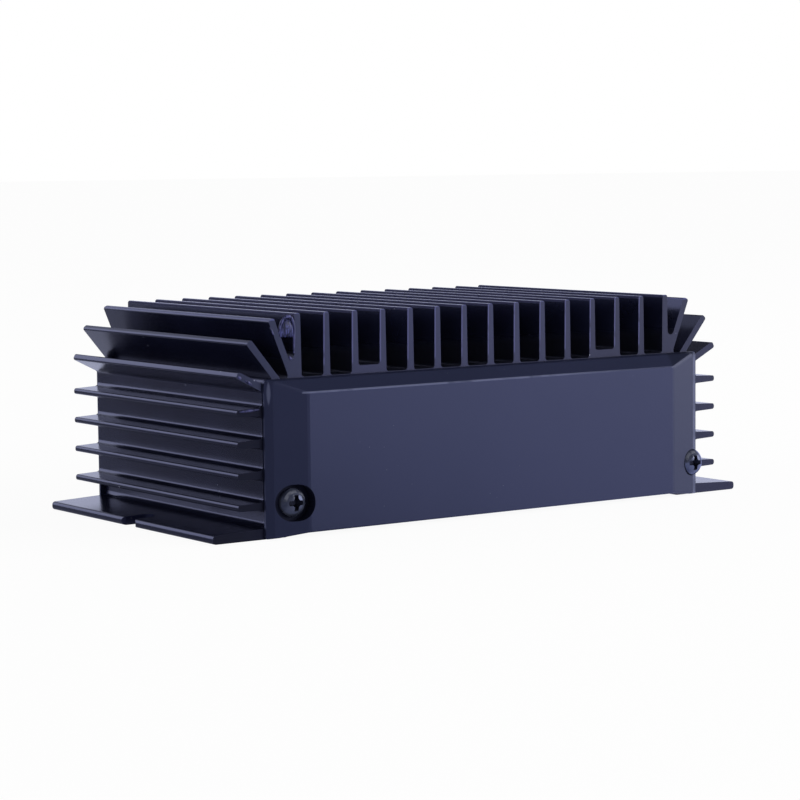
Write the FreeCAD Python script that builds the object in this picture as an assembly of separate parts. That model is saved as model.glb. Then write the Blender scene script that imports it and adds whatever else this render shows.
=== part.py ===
import FreeCAD, Part
import math
import os

# Compact finned RF power amplifier, millimetres.
# X runs from left to right seen from the front, Y from the front to the rear, Z up.
# The origin is the middle of the base: the undersides of the two mounting flanges lie in Z = 0.

Vector = FreeCAD.Vector
X_AXIS = Vector(1, 0, 0)
Y_AXIS = Vector(0, 1, 0)
Z_AXIS = Vector(0, 0, 1)

# ---------------------------------------------------------------- driving dimensions

# extruded housing: fins on top
fin_pitch = 7.0
fins_each_side = 7            # upright fins on each side of the middle one
fin_height = 13.0
fin_tip_thickness = 1.36
fin_root_thickness = 1.7
fin_tip_radius = 0.5
fin_root_radius = 0.6
gap_floor_z = 32.5            # bottom of the gaps between the upright fins
rail_fin_count = 4            # the gap outside this fin, counted from the middle, has a raised floor
rail_rise = 1.6

# extruded housing: three leaning fins at each upper corner,
# as (reach past the last upright fin, drop below the upright tips, angle from level)
lean_fins = [(6.3, 1.0, 68.0), (11.7, 5.3, 50.4), (14.5, 11.8, 26.6)]
lean_thickness = 1.44
lean_gap_radii = [0.9, 1.0, 1.1, 1.0]

# extruded housing: level fins, walls and flanges
wall_offset = 8.75            # from the last upright fin to the outside of the side wall
low_wall_step = 1.2           # the wall is thinner below the lowest fin
level_fin_length = 5.95
level_fin_drop = 6.55         # highest level fin below the floor of the top gaps
level_fin_pitch = 6.4
level_fin_count = 4
level_fin_root = 1.75
level_fin_tip = 1.24
level_tip_radius = 0.52
level_root_radius = 0.8
flange_width = 12.0
flange_root_thickness = 2.3
flange_tip_thickness = 1.75
flange_edge_radius = 0.7
flange_fillet = 1.2
body_depth = 69.0
wall_thickness = 3.35
roof_thickness = 3.0
roof_chamfer = 2.5
inner_radius = 0.8
ledge_radius = 0.4

# open mounting slots, one in each flange
slot_width = 4.6
slot_depth = 6.2
slot_mouth_radius = 0.9

# bottom plate and the ledges that it is screwed to
plate_thickness = 1.5
plate_recess = 0.65           # the plate lies this far above the flange undersides
plate_side_inset = 2.0        # its edge inside the inner face of the side wall
plate_end_margin = 0.5
plate_corner_radius = 1.0
ledge_width = 6.6
ledge_thickness = 2.8
plate_screw_side_inset = 2.5
plate_screw_end_inset = 7.0

# front and rear covers: shallow pans with bevelled sides
cover_side_margin = 0.15      # the cover's edge inside the outside of the side wall
cover_top_margin = 0.1
cover_bottom_z = 0.05
cover_middle_bottom_z = 0.95  # the bottom edge is raised between the two lower corners
cover_rim = 1.4               # rim thickness, outside the body's end
cover_rise = 1.9              # face stands this far in front of the rim
cover_lip = 1.6               # sloping lip outside the side bevels
cover_lip_depth = 0.8
cover_top_lip = 0.3
cover_bottom_lip = 0.15
side_bevel = 7.0
top_bevel = 2.4
bottom_bevel = 0.85
cover_top_radius = 0.8
cover_low_radius = 0.4
cover_face_radius = 0.7
cover_edge = 0.25             # small chamfer above and below the face
cover_side_edge = 0.6         # the same at the face's sides
cover_edge_depth = 0.09
cover_wall = 1.4
hollow_margin = 1.4
hollow_radius = 2.0

# cover screws: Phillips pan heads in oblong pockets, the right one open at the cover's edge
left_screw_inset = 6.0
left_screw_z = 7.2
left_pocket_radius = 3.75
left_pocket_stretch = 0.5     # how far the pocket is drawn out along X, on each side
left_pocket_floor = 0.75      # floor in front of the body's end
left_boss_radius = 3.6
right_screw_inset = 1.8
right_screw_z = 7.35
right_pocket_radius = 3.0
right_pocket_stretch = 0.1
right_pocket_floor = 0.6
right_boss_radius = 3.0
cover_screw_length = 11.0

# screw sizes
m3_radius = 1.5
m3_head_radius = 2.95
m3_head_height = 2.15
m3_head_rim = 0.65
m3_clear_radius = 1.65
m3_taper = 0.75
m3_tip_radius = 0.9
m3_recess_depth = 1.5
m25_radius = 1.25
m25_head_radius = 2.3
m25_head_height = 1.25
m25_recess_depth = 0.9
recess_width = 0.9
recess_span = 3.4
recess_floor_span = 1.2
recess_core_radius = 0.95     # cone in the middle of a cross recess
recess_core_floor_radius = 0.4
thread_clearance = 0.04       # between a thread and the hole that it is cut in
thread_end_gap = 0.4          # between a screw's end and the bottom of its hole

# circuit board, hung from the roof rails by four standoffs
board_side_gap = 8.4
board_front_gap = 4.5
board_rear_gap = 7.5
board_thickness = 1.6
board_corner_radius = 1.5
standoff_length = 6.0
standoff_radius = 2.75
standoff_front_inset = 5.0
standoff_rear_inset = 9.0
standoff_bore_end = 1.5
board_screw_length = 5.0
roof_hole_depth = 3.8

# RF power transistors under the roof
transistor_share = -0.348     # place of the mounting screw, as a share of the body's half depth
package_width = 10.0
package_length = 9.2
package_height = 4.4
package_chamfer = 0.4
tab_length = 6.4
tab_thickness = 1.3
tab_hole_radius = 1.8
tab_hole_offset = 2.8         # from the tab's end to its hole
insulator_thickness = 0.25
insulator_margin = 1.2
lead_pitch = 2.54
lead_width = 0.8
lead_thickness = 0.5
lead_reach = 3.0
lead_root = 0.5               # inside the package
access_hole_radius = 3.4

# changeover relay, in the middle of the board's width
relay_x = 0.0
relay_share = 0.3623          # its place along Y, as a share of the body's half depth
relay_length = 20.0
relay_width = 13.0
relay_wall = 0.8
relay_edge_radius = 0.5
relay_floor_gap = 0.4
relay_base_thickness = 1.6
hinge_inset = 1.6             # hinge line inside the case's wall
yoke_thickness = 1.2
yoke_width = 8.4
yoke_leg = 8.6
yoke_sole_margin = 1.4        # past the core
core_radius = 1.6
bobbin_radius = 4.3
bobbin_flange = 0.7
bobbin_wall = 0.7
bobbin_side_gap = 1.0
bobbin_end_gap = 0.5
winding_radius = 3.9
armature_thickness = 1.0
armature_corner_radius = 0.6
armature_open_deg = 3.4       # the armature hangs open by this angle
hinge_clearance = 0.1
blade_thickness = 0.25
blade_width = 3.2
blade_overlap = 8.0           # length under the armature
blade_reach = 4.2             # past the armature's free end
blade_end_margin = 0.3
contact_radius = 0.8
contact_height = 0.35
contact_gap = 0.12
contact_strip = 0.4
contact_strip_width = 1.6
contact_post_width = 1.0
contact_post_gap = 0.4
contact_post_inset = 0.9
blade_end_gap = 0.5

# places on the board are shares of its half width (x) and of the body's half depth (y)

# ferrite transformers, with their size as (length along Y, width, height)
input_transformer_share = (-0.652, 0.058)
input_transformer_size = (14.0, 13.0, 7.5)
input_bore_radius = 1.6
input_turn_radius = 0.5
output_transformer_share = (0.130, -0.232)
output_transformer_size = (18.0, 16.0, 9.0)
output_bore_radius = 2.3
output_turn_radius = 0.9
ferrite_edge_share = 0.3      # edge radius as a share of the height
turn_reach = 2.0              # how far a turn stands out of the ferrite
turn_bend = 1.1

# air-wound filter coils
coil_shares = [(0.478, 0.449), (0.783, 0.261), (0.804, -0.043)]
coil_turn_counts = [5, 4, 3]
coil_radius = 3.6
coil_wire = 0.55
coil_leg_radius = 0.5
coil_pitch = 1.7

# supply choke on a ring core
choke_share = (0.460, -0.638)
choke_radius = 4.2
choke_section = 1.7
choke_wire = 0.4
choke_turns = 13
choke_first_deg = 20.0
choke_spread_deg = 320.0

# capacitors
electrolytic_share = (-0.391, -0.580)
electrolytic_radius = 5.0
electrolytic_height = 15.0
electrolytic_edge = 0.6
groove_radius = 0.5
groove_outset = 0.25
groove_drop = 2.2
disc_shares = [(-0.870, 0.348), (-0.870, 0.058), (0.383, 0.072), (0.609, 0.058), (0.913, 0.522),
               (0.913, -0.464)]
disc_radius = 3.1
disc_thickness = 2.2
disc_edge = 0.88
disc_stand = 1.4
disc_leg_spread = 1.9

# resistors and diodes with axial leads
resistor_shares = [(-0.130, -0.696), (-0.130, -0.565), (0.130, -0.754), (-0.874, -0.783), (-0.874, -0.652),
                   (-0.348, -0.116)]
resistor_radius = 1.2
resistor_length = 6.4
diode_shares = [(-0.348, 0.014), (-0.348, -0.261)]
diode_radius = 1.3
diode_length = 5.0
axial_edge_share = 0.3
axial_stand = 0.4
axial_leg_span = 10.0
axial_bend = 0.7
leg_radius = 0.3

# keying transistor
keying_share = (-0.783, -0.435)
keying_radius = 2.3
keying_height = 4.8
keying_flat = 1.27            # from the axis to the flat side
keying_stand = 2.6
keying_leg_pitch = 1.27
keying_leg_radius = 0.25

# coax sockets on the rear cover
socket_x = 30.0
socket_z = 15.4
socket_flange = 25.4
socket_flange_thickness = 1.6
socket_flange_radius = 1.2
socket_barrel_radius = 7.9
socket_barrel_length = 11.0
socket_barrel_chamfer = 0.5
socket_mouth_radius = 6.2
socket_mouth_depth = 9.0
socket_back_radius = 6.5
socket_back_length = 3.4
socket_panel_clearance = 0.25
socket_hole_spacing = 18.2
insulator_radius = 5.15
insulator_nose = 2.5          # how far the insulator stands up inside the mouth
contact_sleeve_radius = 2.6
contact_bore_radius = 2.0
contact_bore_depth = 8.0
contact_end_gap = 1.0
contact_tail = 1.0            # sleeve behind the insulator
solder_cup_radius = 1.5
solder_cup_length = 4.0
socket_screw_length = 5.6
nut_across_flats = 5.5
nut_height = 2.4

# power lead entry
grommet_z = 15.4
grommet_bore_radius = 2.4
grommet_neck_radius = 4.0
grommet_flange_radius = 5.6
grommet_flange_thickness = 1.7
grommet_edge = 0.85

# wiring and its terminals
wire_radius = 0.9
wire_bend = 2.6
wire_drop_inset = 3.0
terminal_x = 4.5
terminal_gap = 3.2            # behind the relay
terminal_width = 3.2
terminal_thickness = 0.8
terminal_height = 6.5
terminal_corner = 1.0
terminal_hole_radius = 0.8
terminal_hole_height = 4.8

fit_gap = 0.05                # small gap between parts that fit together
over = 1.0                    # how far a cutting tool runs past the face that it cuts

# ---------------------------------------------------------------- derived places

m3_hole_radius = m3_radius + thread_clearance
m25_hole_radius = m25_radius + thread_clearance

half_depth = body_depth / 2
fin_tip_z = gap_floor_z + fin_height
last_fin_x = fins_each_side * fin_pitch
rail_x = (rail_fin_count + 0.5) * fin_pitch
wall_x = last_fin_x + wall_offset
low_wall_x = wall_x - low_wall_step
inner_wall_x = wall_x - wall_thickness
flange_x = wall_x + flange_width
roof_z = gap_floor_z - roof_thickness

plate_half_width = inner_wall_x - plate_side_inset
plate_half_depth = half_depth - plate_end_margin
plate_top_z = plate_recess + plate_thickness
ledge_top_z = plate_top_z + ledge_thickness

cover_half_width = wall_x - cover_side_margin
cover_top_z = gap_floor_z - cover_top_margin
foot_half_width = cover_half_width - cover_lip
foot_top_z = cover_top_z - cover_top_lip
foot_bottom_z = cover_bottom_z + cover_bottom_lip
face_half_width = foot_half_width - side_bevel
face_top_z = foot_top_z - top_bevel
face_bottom_z = foot_bottom_z + bottom_bevel
cover_depth = cover_rim + cover_rise
cover_inside = cover_depth - cover_wall
left_screw_x = left_screw_inset - cover_half_width
right_screw_x = cover_half_width - right_screw_inset

board_half_width = inner_wall_x - board_side_gap
board_front_y = board_front_gap - half_depth
board_rear_y = half_depth - board_rear_gap
board_top_z = roof_z - standoff_length
board_z = board_top_z - board_thickness
transistor_top_z = roof_z - insulator_thickness
transistor_y = transistor_share * half_depth

relay_y = relay_share * half_depth
relay_base_z = board_z - relay_base_thickness
yoke_end_z = relay_base_z - yoke_thickness - yoke_leg
hinge_x = relay_x - relay_length / 2 + relay_wall + hinge_inset
core_x = hinge_x + yoke_thickness / 2 + bobbin_side_gap + bobbin_radius
contact_post_x = relay_x + relay_length / 2 - relay_wall - contact_post_inset - contact_strip
blade_end_x = contact_post_x - blade_end_gap
armature_end_x = blade_end_x - blade_reach
blade_contact_x = blade_end_x - blade_end_margin - contact_radius
blade_top_z = yoke_end_z - hinge_clearance - armature_thickness
blade_swing = (blade_contact_x - hinge_x) * math.sin(math.radians(armature_open_deg))
upper_contact_z = blade_top_z + contact_height + contact_gap
lower_contact_z = blade_top_z - blade_thickness - contact_height - blade_swing - contact_gap
relay_inner_floor_z = lower_contact_z - contact_height - contact_strip - relay_floor_gap

choke_middle_z = board_z - choke_section - 2 * choke_wire - 2 * fit_gap

socket_flange_y = half_depth + cover_depth
socket_barrel_y = socket_flange_y + socket_flange_thickness
socket_end_y = socket_barrel_y + socket_barrel_length
socket_back_y = socket_flange_y - socket_back_length
socket_floor_y = socket_end_y - socket_mouth_depth
socket_tail_y = socket_back_y - contact_tail
nut_seat_y = half_depth + cover_inside
wire_drop_y = board_rear_y - wire_drop_inset
terminal_y = relay_y + (relay_width + terminal_thickness) / 2 + terminal_gap


# ---------------------------------------------------------------- helpers

def at(x, y, z):
    return Vector(x, y, z)


def box(x0, x1, y0, y1, z0, z1):
    return Part.makeBox(x1 - x0, y1 - y0, z1 - z0, at(x0, y0, z0))


def rod(centre, direction, radius, length):
    return Part.makeCylinder(radius, length, centre, direction)


def joined(shapes):
    first, *others = shapes
    return first.multiFuse(others).removeSplitter()


def group(shapes):
    return Part.makeCompound(shapes)


def edges_along(shape, axis):
    return [e for e in shape.Edges if abs(e.tangentAt(e.FirstParameter).dot(axis)) > 0.9]


def round_edges(shape):
    return [e for e in shape.Edges if len(e.Vertexes) == 1]


def unit(a, b):
    return (b - a).normalize()


def rounded_wire(corners):
    # closed wire through (point, radius) corners, each rounded by a tangent arc
    runs = []
    count = len(corners)
    for i, (point, radius) in enumerate(corners):
        back = unit(point, corners[i - 1][0])
        ahead = unit(point, corners[(i + 1) % count][0])
        half = back.getAngle(ahead) / 2
        if radius <= 0:
            runs.append((point, None, point))
            continue
        reach = radius / math.tan(half)
        bisector = (back + ahead).normalize()
        middle = point + bisector * (radius / math.sin(half) - radius)
        runs.append((point + back * reach, middle, point + ahead * reach))
    edges = []
    for i, (entry, middle, leave) in enumerate(runs):
        if middle is not None:
            edges.append(Part.Arc(entry, middle, leave).toShape())
        following = runs[(i + 1) % count][0]
        edges.append(Part.LineSegment(leave, following).toShape())
    return Part.Wire(edges)


def rounded_rectangle(half_width, z0, z1, y, low_radius, top_radius):
    corners = [(at(-half_width, y, z0), low_radius), (at(half_width, y, z0), low_radius),
               (at(half_width, y, z1), top_radius), (at(-half_width, y, z1), top_radius)]
    return rounded_wire(corners)


def bent_rod(points, radius, bend):
    # round rod along straight runs joined by tangent arcs
    edges = []
    start = points[0]
    for i in range(1, len(points) - 1):
        back = unit(points[i], points[i - 1])
        ahead = unit(points[i], points[i + 1])
        half = back.getAngle(ahead) / 2
        reach = bend / math.tan(half)
        bisector = (back + ahead).normalize()
        middle = points[i] + bisector * (bend / math.sin(half) - bend)
        entry = points[i] + back * reach
        leave = points[i] + ahead * reach
        edges.append(Part.LineSegment(start, entry).toShape())
        edges.append(Part.Arc(entry, middle, leave).toShape())
        start = leave
    edges.append(Part.LineSegment(start, points[-1]).toShape())
    circle = Part.Wire(Part.makeCircle(radius, points[0], unit(points[0], points[1])))
    return Part.Wire(edges).makePipeShell([circle], True, False)


def placed(shape, centre, axis):
    # turns a screw made along +Z so that its head faces along axis, and moves it to centre
    copy = shape.copy()
    turn = FreeCAD.Rotation(Z_AXIS, axis)
    copy.Placement = FreeCAD.Placement(centre, turn).multiply(copy.Placement)
    return copy


# ---------------------------------------------------------------- screws

def phillips_recess(depth):
    # two crossed wedges and a cone, points down, with the mouth at Z = 0 and a cap above it
    half = recess_width / 2
    mouth = recess_span / 2
    floor = recess_floor_span / 2
    outline = [at(-mouth, -half, over), at(mouth, -half, over), at(mouth, -half, 0),
               at(floor, -half, -depth), at(-floor, -half, -depth), at(-mouth, -half, 0)]
    wedge = Part.Face(Part.makePolygon(outline + outline[:1])).extrude(Y_AXIS * recess_width)
    other = wedge.copy()
    other.rotate(at(0, 0, 0), Z_AXIS, 90)
    core = Part.makeCone(recess_core_floor_radius, recess_core_radius, depth, at(0, 0, -depth))
    return wedge.fuse([other, core, rod(at(0, 0, 0), Z_AXIS, recess_core_radius, over)])


def pan_screw(length):
    # M3 screw with its head's seat at Z = 0, the head up, and the shank down to a short taper
    rim = at(m3_head_radius, 0, m3_head_rim)
    crown = at(0, 0, m3_head_height)
    slope = math.sqrt(0.5)
    bulge = at(m3_head_radius * slope, 0, m3_head_rim + (m3_head_height - m3_head_rim) * slope)
    edges = [
        Part.LineSegment(at(0, 0, 0), at(m3_head_radius, 0, 0)).toShape(),
        Part.LineSegment(at(m3_head_radius, 0, 0), rim).toShape(),
        Part.Arc(rim, bulge, crown).toShape(),
        Part.LineSegment(crown, at(0, 0, 0)).toShape(),
    ]
    head = Part.Face(Part.Wire(edges)).revolve(at(0, 0, 0), Z_AXIS, 360)
    cross = phillips_recess(m3_recess_depth)
    cross.translate(crown)
    shank = rod(at(0, 0, m3_taper - length), Z_AXIS, m3_radius, length - m3_taper)
    tip = Part.makeCone(m3_tip_radius, m3_radius, m3_taper, at(0, 0, -length), Z_AXIS)
    return joined([head.cut(cross), shank, tip])


def flat_screw(length):
    # countersunk M2.5 screw with its flush face at Z = 0 and its shank up
    head = Part.makeCone(m25_head_radius, m25_radius, m25_head_height, at(0, 0, 0), Z_AXIS)
    shank = rod(at(0, 0, m25_head_height), Z_AXIS, m25_radius, length - m25_head_height)
    cross = phillips_recess(m25_recess_depth)
    cross.rotate(at(0, 0, 0), X_AXIS, 180)
    return joined([head, shank]).cut(cross)


# ---------------------------------------------------------------- extruded housing

def line_meet(p, u, q, v):
    # where the line through p along u meets the line through q along v, in the XZ plane
    cross = u.x * v.z - u.z * v.x
    step = ((q.x - p.x) * v.z - (q.z - p.z) * v.x) / cross
    return p + u * step


def upright_fin_corners():
    corners = []
    tip = fin_tip_thickness / 2
    root = fin_root_thickness / 2
    for i in range(fins_each_side + 1):
        x = i * fin_pitch
        left_floor = gap_floor_z + (rail_rise if i == rail_fin_count + 1 else 0)
        right_floor = gap_floor_z + (rail_rise if i == rail_fin_count else 0)
        if i > 0:
            corners.append((at(x - root, 0, left_floor), fin_root_radius))
            corners.append((at(x - tip, 0, fin_tip_z), fin_tip_radius))
        corners.append((at(x + tip, 0, fin_tip_z), fin_tip_radius))
        if i < fins_each_side:
            corners.append((at(x + root, 0, right_floor), fin_root_radius))
    return corners


def leaning_fin_corners():
    corners = []
    side_point = at(last_fin_x + fin_tip_thickness / 2, 0, fin_tip_z)
    root_point = at(last_fin_x + fin_root_thickness / 2, 0, gap_floor_z)
    side_way = unit(root_point, side_point)
    half = lean_thickness / 2
    for (reach, drop, angle), gap_radius in zip(lean_fins, lean_gap_radii):
        way = at(math.cos(math.radians(angle)), 0, math.sin(math.radians(angle)))
        across = at(way.z, 0, -way.x)
        tip = at(last_fin_x + reach, 0, fin_tip_z - drop)
        upper = tip - across * half
        lower = tip + across * half
        corners.append((line_meet(side_point, side_way, upper, way), gap_radius))
        corners.append((upper, fin_tip_radius))
        corners.append((lower, fin_tip_radius))
        side_point = lower
        side_way = way
    corners.append((line_meet(side_point, side_way, at(wall_x, 0, 0), Z_AXIS), lean_gap_radii[-1]))
    return corners


def level_fin_corners():
    corners = []
    tip_x = wall_x + level_fin_length
    for i in range(level_fin_count):
        z = gap_floor_z - level_fin_drop - i * level_fin_pitch
        below_x = low_wall_x if i == level_fin_count - 1 else wall_x
        corners.append((at(wall_x, 0, z + level_fin_root / 2), level_root_radius))
        corners.append((at(tip_x, 0, z + level_fin_tip / 2), level_tip_radius))
        corners.append((at(tip_x, 0, z - level_fin_tip / 2), level_tip_radius))
        corners.append((at(below_x, 0, z - level_fin_root / 2), level_root_radius))
    return corners


def base_corners():
    # flange, plate recess, ledge, inner wall and roof, going inwards
    recess_x = plate_half_width + fit_gap
    return [
        (at(low_wall_x, 0, flange_root_thickness), flange_fillet),
        (at(flange_x, 0, flange_tip_thickness), flange_edge_radius),
        (at(flange_x, 0, 0), flange_edge_radius),
        (at(recess_x, 0, 0), 0),
        (at(recess_x, 0, plate_top_z), 0),
        (at(recess_x - ledge_width, 0, plate_top_z), ledge_radius),
        (at(recess_x - ledge_width, 0, ledge_top_z), ledge_radius),
        (at(inner_wall_x, 0, ledge_top_z), inner_radius),
        (at(inner_wall_x, 0, roof_z - roof_chamfer), inner_radius),
        (at(inner_wall_x - roof_chamfer, 0, roof_z), inner_radius),
    ]


def flange_slot():
    # U slot that opens at the right flange's edge, with rounded lead-in corners
    half = slot_width / 2
    mouth = slot_mouth_radius
    inner = flange_x - slot_depth + half
    low = -over
    high = flange_root_thickness + over
    channel = box(inner, flange_x + over, -half, half, low, high)
    end = rod(at(inner, 0, low), Z_AXIS, half, high - low)
    flare = box(flange_x - mouth, flange_x + over, -half - mouth, half + mouth, low, high)
    for way in (-1, 1):
        flare = flare.cut(rod(at(flange_x - mouth, way * (half + mouth), low), Z_AXIS, mouth, high - low))
    return channel.fuse([end, flare])


def cover_screw_places():
    # (x, z, pocket floor, boss radius) of the left and the right cover screw
    return [
        (left_screw_x, left_screw_z, left_pocket_floor, left_boss_radius),
        (right_screw_x, right_screw_z, right_pocket_floor, right_boss_radius),
    ]


def roof_screw_places():
    return standoff_places() + transistor_places()


def heatsink_housing():
    right = upright_fin_corners() + leaning_fin_corners() + level_fin_corners() + base_corners()
    left = [(at(-p.x, p.y, p.z), r) for p, r in reversed(right)]
    profile = Part.Face(rounded_wire(right + left))
    profile.translate(at(0, -half_depth, 0))
    body = profile.extrude(Y_AXIS * body_depth)
    inside = box(-low_wall_x, low_wall_x, -half_depth, half_depth, plate_top_z, roof_z)
    bosses = []
    cuts = [flange_slot(), flange_slot().mirror(at(0, 0, 0), X_AXIS)]
    for x, z, floor, boss in cover_screw_places():
        bosses.append(rod(at(x, -half_depth, z), Y_AXIS, boss, body_depth).common(inside))
        cuts.append(rod(at(x, -half_depth - over, z), Y_AXIS, m3_hole_radius, body_depth + 2 * over))
    for x, y in plate_screw_places():
        cuts.append(rod(at(x, y, plate_top_z - over), Z_AXIS, m25_hole_radius, ledge_thickness + 2 * over))
    for x, y in roof_screw_places():
        cuts.append(rod(at(x, y, roof_z - over), Z_AXIS, m3_hole_radius, roof_hole_depth + over))
    return joined([body] + bosses).cut(cuts)


# ---------------------------------------------------------------- covers

def cover_blank():
    # front cover without its openings: rim, sloping lip and bevelled pan
    rim_y = -half_depth - cover_rim
    face_y = -half_depth - cover_depth
    rim = [rounded_rectangle(cover_half_width, cover_bottom_z, cover_top_z, y,
                             cover_low_radius, cover_top_radius)
           for y in (-half_depth, rim_y + cover_lip_depth)]
    foot = rounded_rectangle(foot_half_width, foot_bottom_z, foot_top_z, rim_y,
                             cover_low_radius, cover_top_radius)
    shoulder = rounded_rectangle(face_half_width, face_bottom_z, face_top_z, face_y + cover_edge_depth,
                                 cover_face_radius, cover_face_radius)
    face_radius = cover_face_radius - cover_edge
    face = rounded_rectangle(face_half_width - cover_side_edge, face_bottom_z + cover_edge,
                             face_top_z - cover_edge, face_y, face_radius, face_radius)
    return Part.makeLoft(rim + [foot, shoulder, face], True, True)


def cover_bottom_cut():
    # raises the bottom edge between the two lower corners
    start_y = -half_depth - cover_depth - over
    low = cover_bottom_z - over
    outline = [
        at(-foot_half_width, start_y, low),
        at(-foot_half_width, start_y, cover_bottom_z),
        at(-face_half_width, start_y, cover_middle_bottom_z),
        at(face_half_width, start_y, cover_middle_bottom_z),
        at(foot_half_width, start_y, cover_bottom_z),
        at(foot_half_width, start_y, low),
    ]
    return Part.Face(Part.makePolygon(outline + outline[:1])).extrude(Y_AXIS * (cover_depth + 2 * over))


def cover_hollow():
    # the pan is hollow behind its face, between the two screw pockets
    left_pocket_end = left_screw_x + left_pocket_stretch + left_pocket_radius
    right_pocket_end = right_screw_x - right_pocket_stretch - right_pocket_radius
    left = max(left_pocket_end + cover_wall, cover_wall - face_half_width)
    right = min(right_pocket_end - cover_wall, face_half_width - cover_wall)
    low = face_bottom_z + hollow_margin
    high = face_top_z - hollow_margin
    hollow = box(left, right, -half_depth - cover_inside, -half_depth + over, low, high)
    return hollow.makeFillet(hollow_radius, edges_along(hollow, Y_AXIS))


def screw_pocket(place, radius, stretch):
    # oblong pocket for a screw head, open towards the front
    x, z, floor, boss = place
    floor_y = -half_depth - floor
    middle = box(x - stretch, x + stretch, floor_y - cover_depth, floor_y, z - radius, z + radius)
    return middle.fuse([rod(at(x + way * stretch, floor_y, z), -Y_AXIS, radius, cover_depth) for way in (-1, 1)])


def front_cover():
    left_place, right_place = cover_screw_places()
    cuts = [cover_hollow(), cover_bottom_cut(),
            screw_pocket(left_place, left_pocket_radius, left_pocket_stretch),
            screw_pocket(right_place, right_pocket_radius, right_pocket_stretch)]
    for x, z, floor, boss in cover_screw_places():
        cuts.append(rod(at(x, -half_depth + over, z), -Y_AXIS, m3_clear_radius, cover_depth + 2 * over))
    return cover_blank().cut(cuts)


def rear_cover():
    # the same casting turned to the rear, bored for the sockets and the power lead
    start_y = half_depth - over
    length = cover_depth + 2 * over
    cuts = [rod(at(0, start_y, grommet_z), Y_AXIS, grommet_neck_radius + fit_gap, length)]
    for x in socket_centres():
        cuts.append(rod(at(x, start_y, socket_z), Y_AXIS, socket_back_radius + socket_panel_clearance, length))
    for x, z in socket_screw_places():
        cuts.append(rod(at(x, start_y, z), Y_AXIS, m3_clear_radius, length))
    return front_cover().mirror(at(0, 0, 0), Y_AXIS).cut(cuts)


def cover_screws(side):
    screw = pan_screw(cover_screw_length)
    return group([placed(screw, at(x, side * (half_depth + floor), z), Y_AXIS * side)
                  for x, z, floor, boss in cover_screw_places()])


# ---------------------------------------------------------------- bottom plate

def plate_screw_places():
    x = plate_half_width - plate_screw_side_inset
    y = plate_half_depth - plate_screw_end_inset
    return [(-x, -y), (-x, y), (x, -y), (x, y)]


def bottom_plate():
    plate = box(-plate_half_width, plate_half_width, -plate_half_depth, plate_half_depth,
                plate_recess, plate_top_z)
    plate = plate.makeFillet(plate_corner_radius, edges_along(plate, Z_AXIS))
    cuts = []
    for x, y in plate_screw_places():
        wide = m25_head_radius + fit_gap
        narrow = m25_radius + fit_gap
        cuts.append(Part.makeCone(wide, narrow, m25_head_height, at(x, y, plate_recess), Z_AXIS))
        cuts.append(rod(at(x, y, plate_recess - over), Z_AXIS, narrow, plate_thickness + 2 * over))
    return plate.cut(cuts)


def bottom_plate_screws():
    screw = flat_screw(plate_thickness + ledge_thickness)
    return group([screw.translated(at(x, y, plate_recess)) for x, y in plate_screw_places()])


# ---------------------------------------------------------------- circuit board and its supports

def standoff_places():
    front = board_front_y + standoff_front_inset
    rear = board_rear_y - standoff_rear_inset
    return [(-rail_x, front), (-rail_x, rear), (rail_x, front), (rail_x, rear)]


def transistor_places():
    return [(-rail_x, transistor_y), (rail_x, transistor_y)]


def circuit_board():
    board = box(-board_half_width, board_half_width, board_front_y, board_rear_y, board_z, board_top_z)
    board = board.makeFillet(board_corner_radius, edges_along(board, Z_AXIS))
    length = board_thickness + 2 * over
    cuts = [rod(at(x, y, board_z - over), Z_AXIS, m3_clear_radius, length) for x, y in standoff_places()]
    cuts += [rod(at(x, y, board_z - over), Z_AXIS, access_hole_radius, length) for x, y in transistor_places()]
    return board.cut(cuts)


def board_standoffs():
    posts = []
    for x, y in standoff_places():
        post = rod(at(x, y, board_top_z), Z_AXIS, standoff_radius, standoff_length)
        stud = rod(at(x, y, roof_z), Z_AXIS, m3_radius, roof_hole_depth - thread_end_gap)
        bore = rod(at(x, y, board_top_z), Z_AXIS, m3_hole_radius, standoff_length - standoff_bore_end)
        posts.append(joined([post, stud]).cut(bore))
    return group(posts)


def board_screws():
    screw = pan_screw(board_screw_length)
    return group([placed(screw, at(x, y, board_z), -Z_AXIS) for x, y in standoff_places()])


# ---------------------------------------------------------------- RF power transistors

def transistor_insulator(x):
    half = package_width / 2 + insulator_margin
    tab_front = transistor_y - tab_hole_offset
    rear = tab_front + tab_length + package_length + insulator_margin
    sheet = box(x - half, x + half, tab_front - insulator_margin, rear, transistor_top_z, roof_z)
    hole_start = at(x, transistor_y, transistor_top_z - over)
    return sheet.cut(rod(hole_start, Z_AXIS, tab_hole_radius, insulator_thickness + 2 * over))


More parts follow.
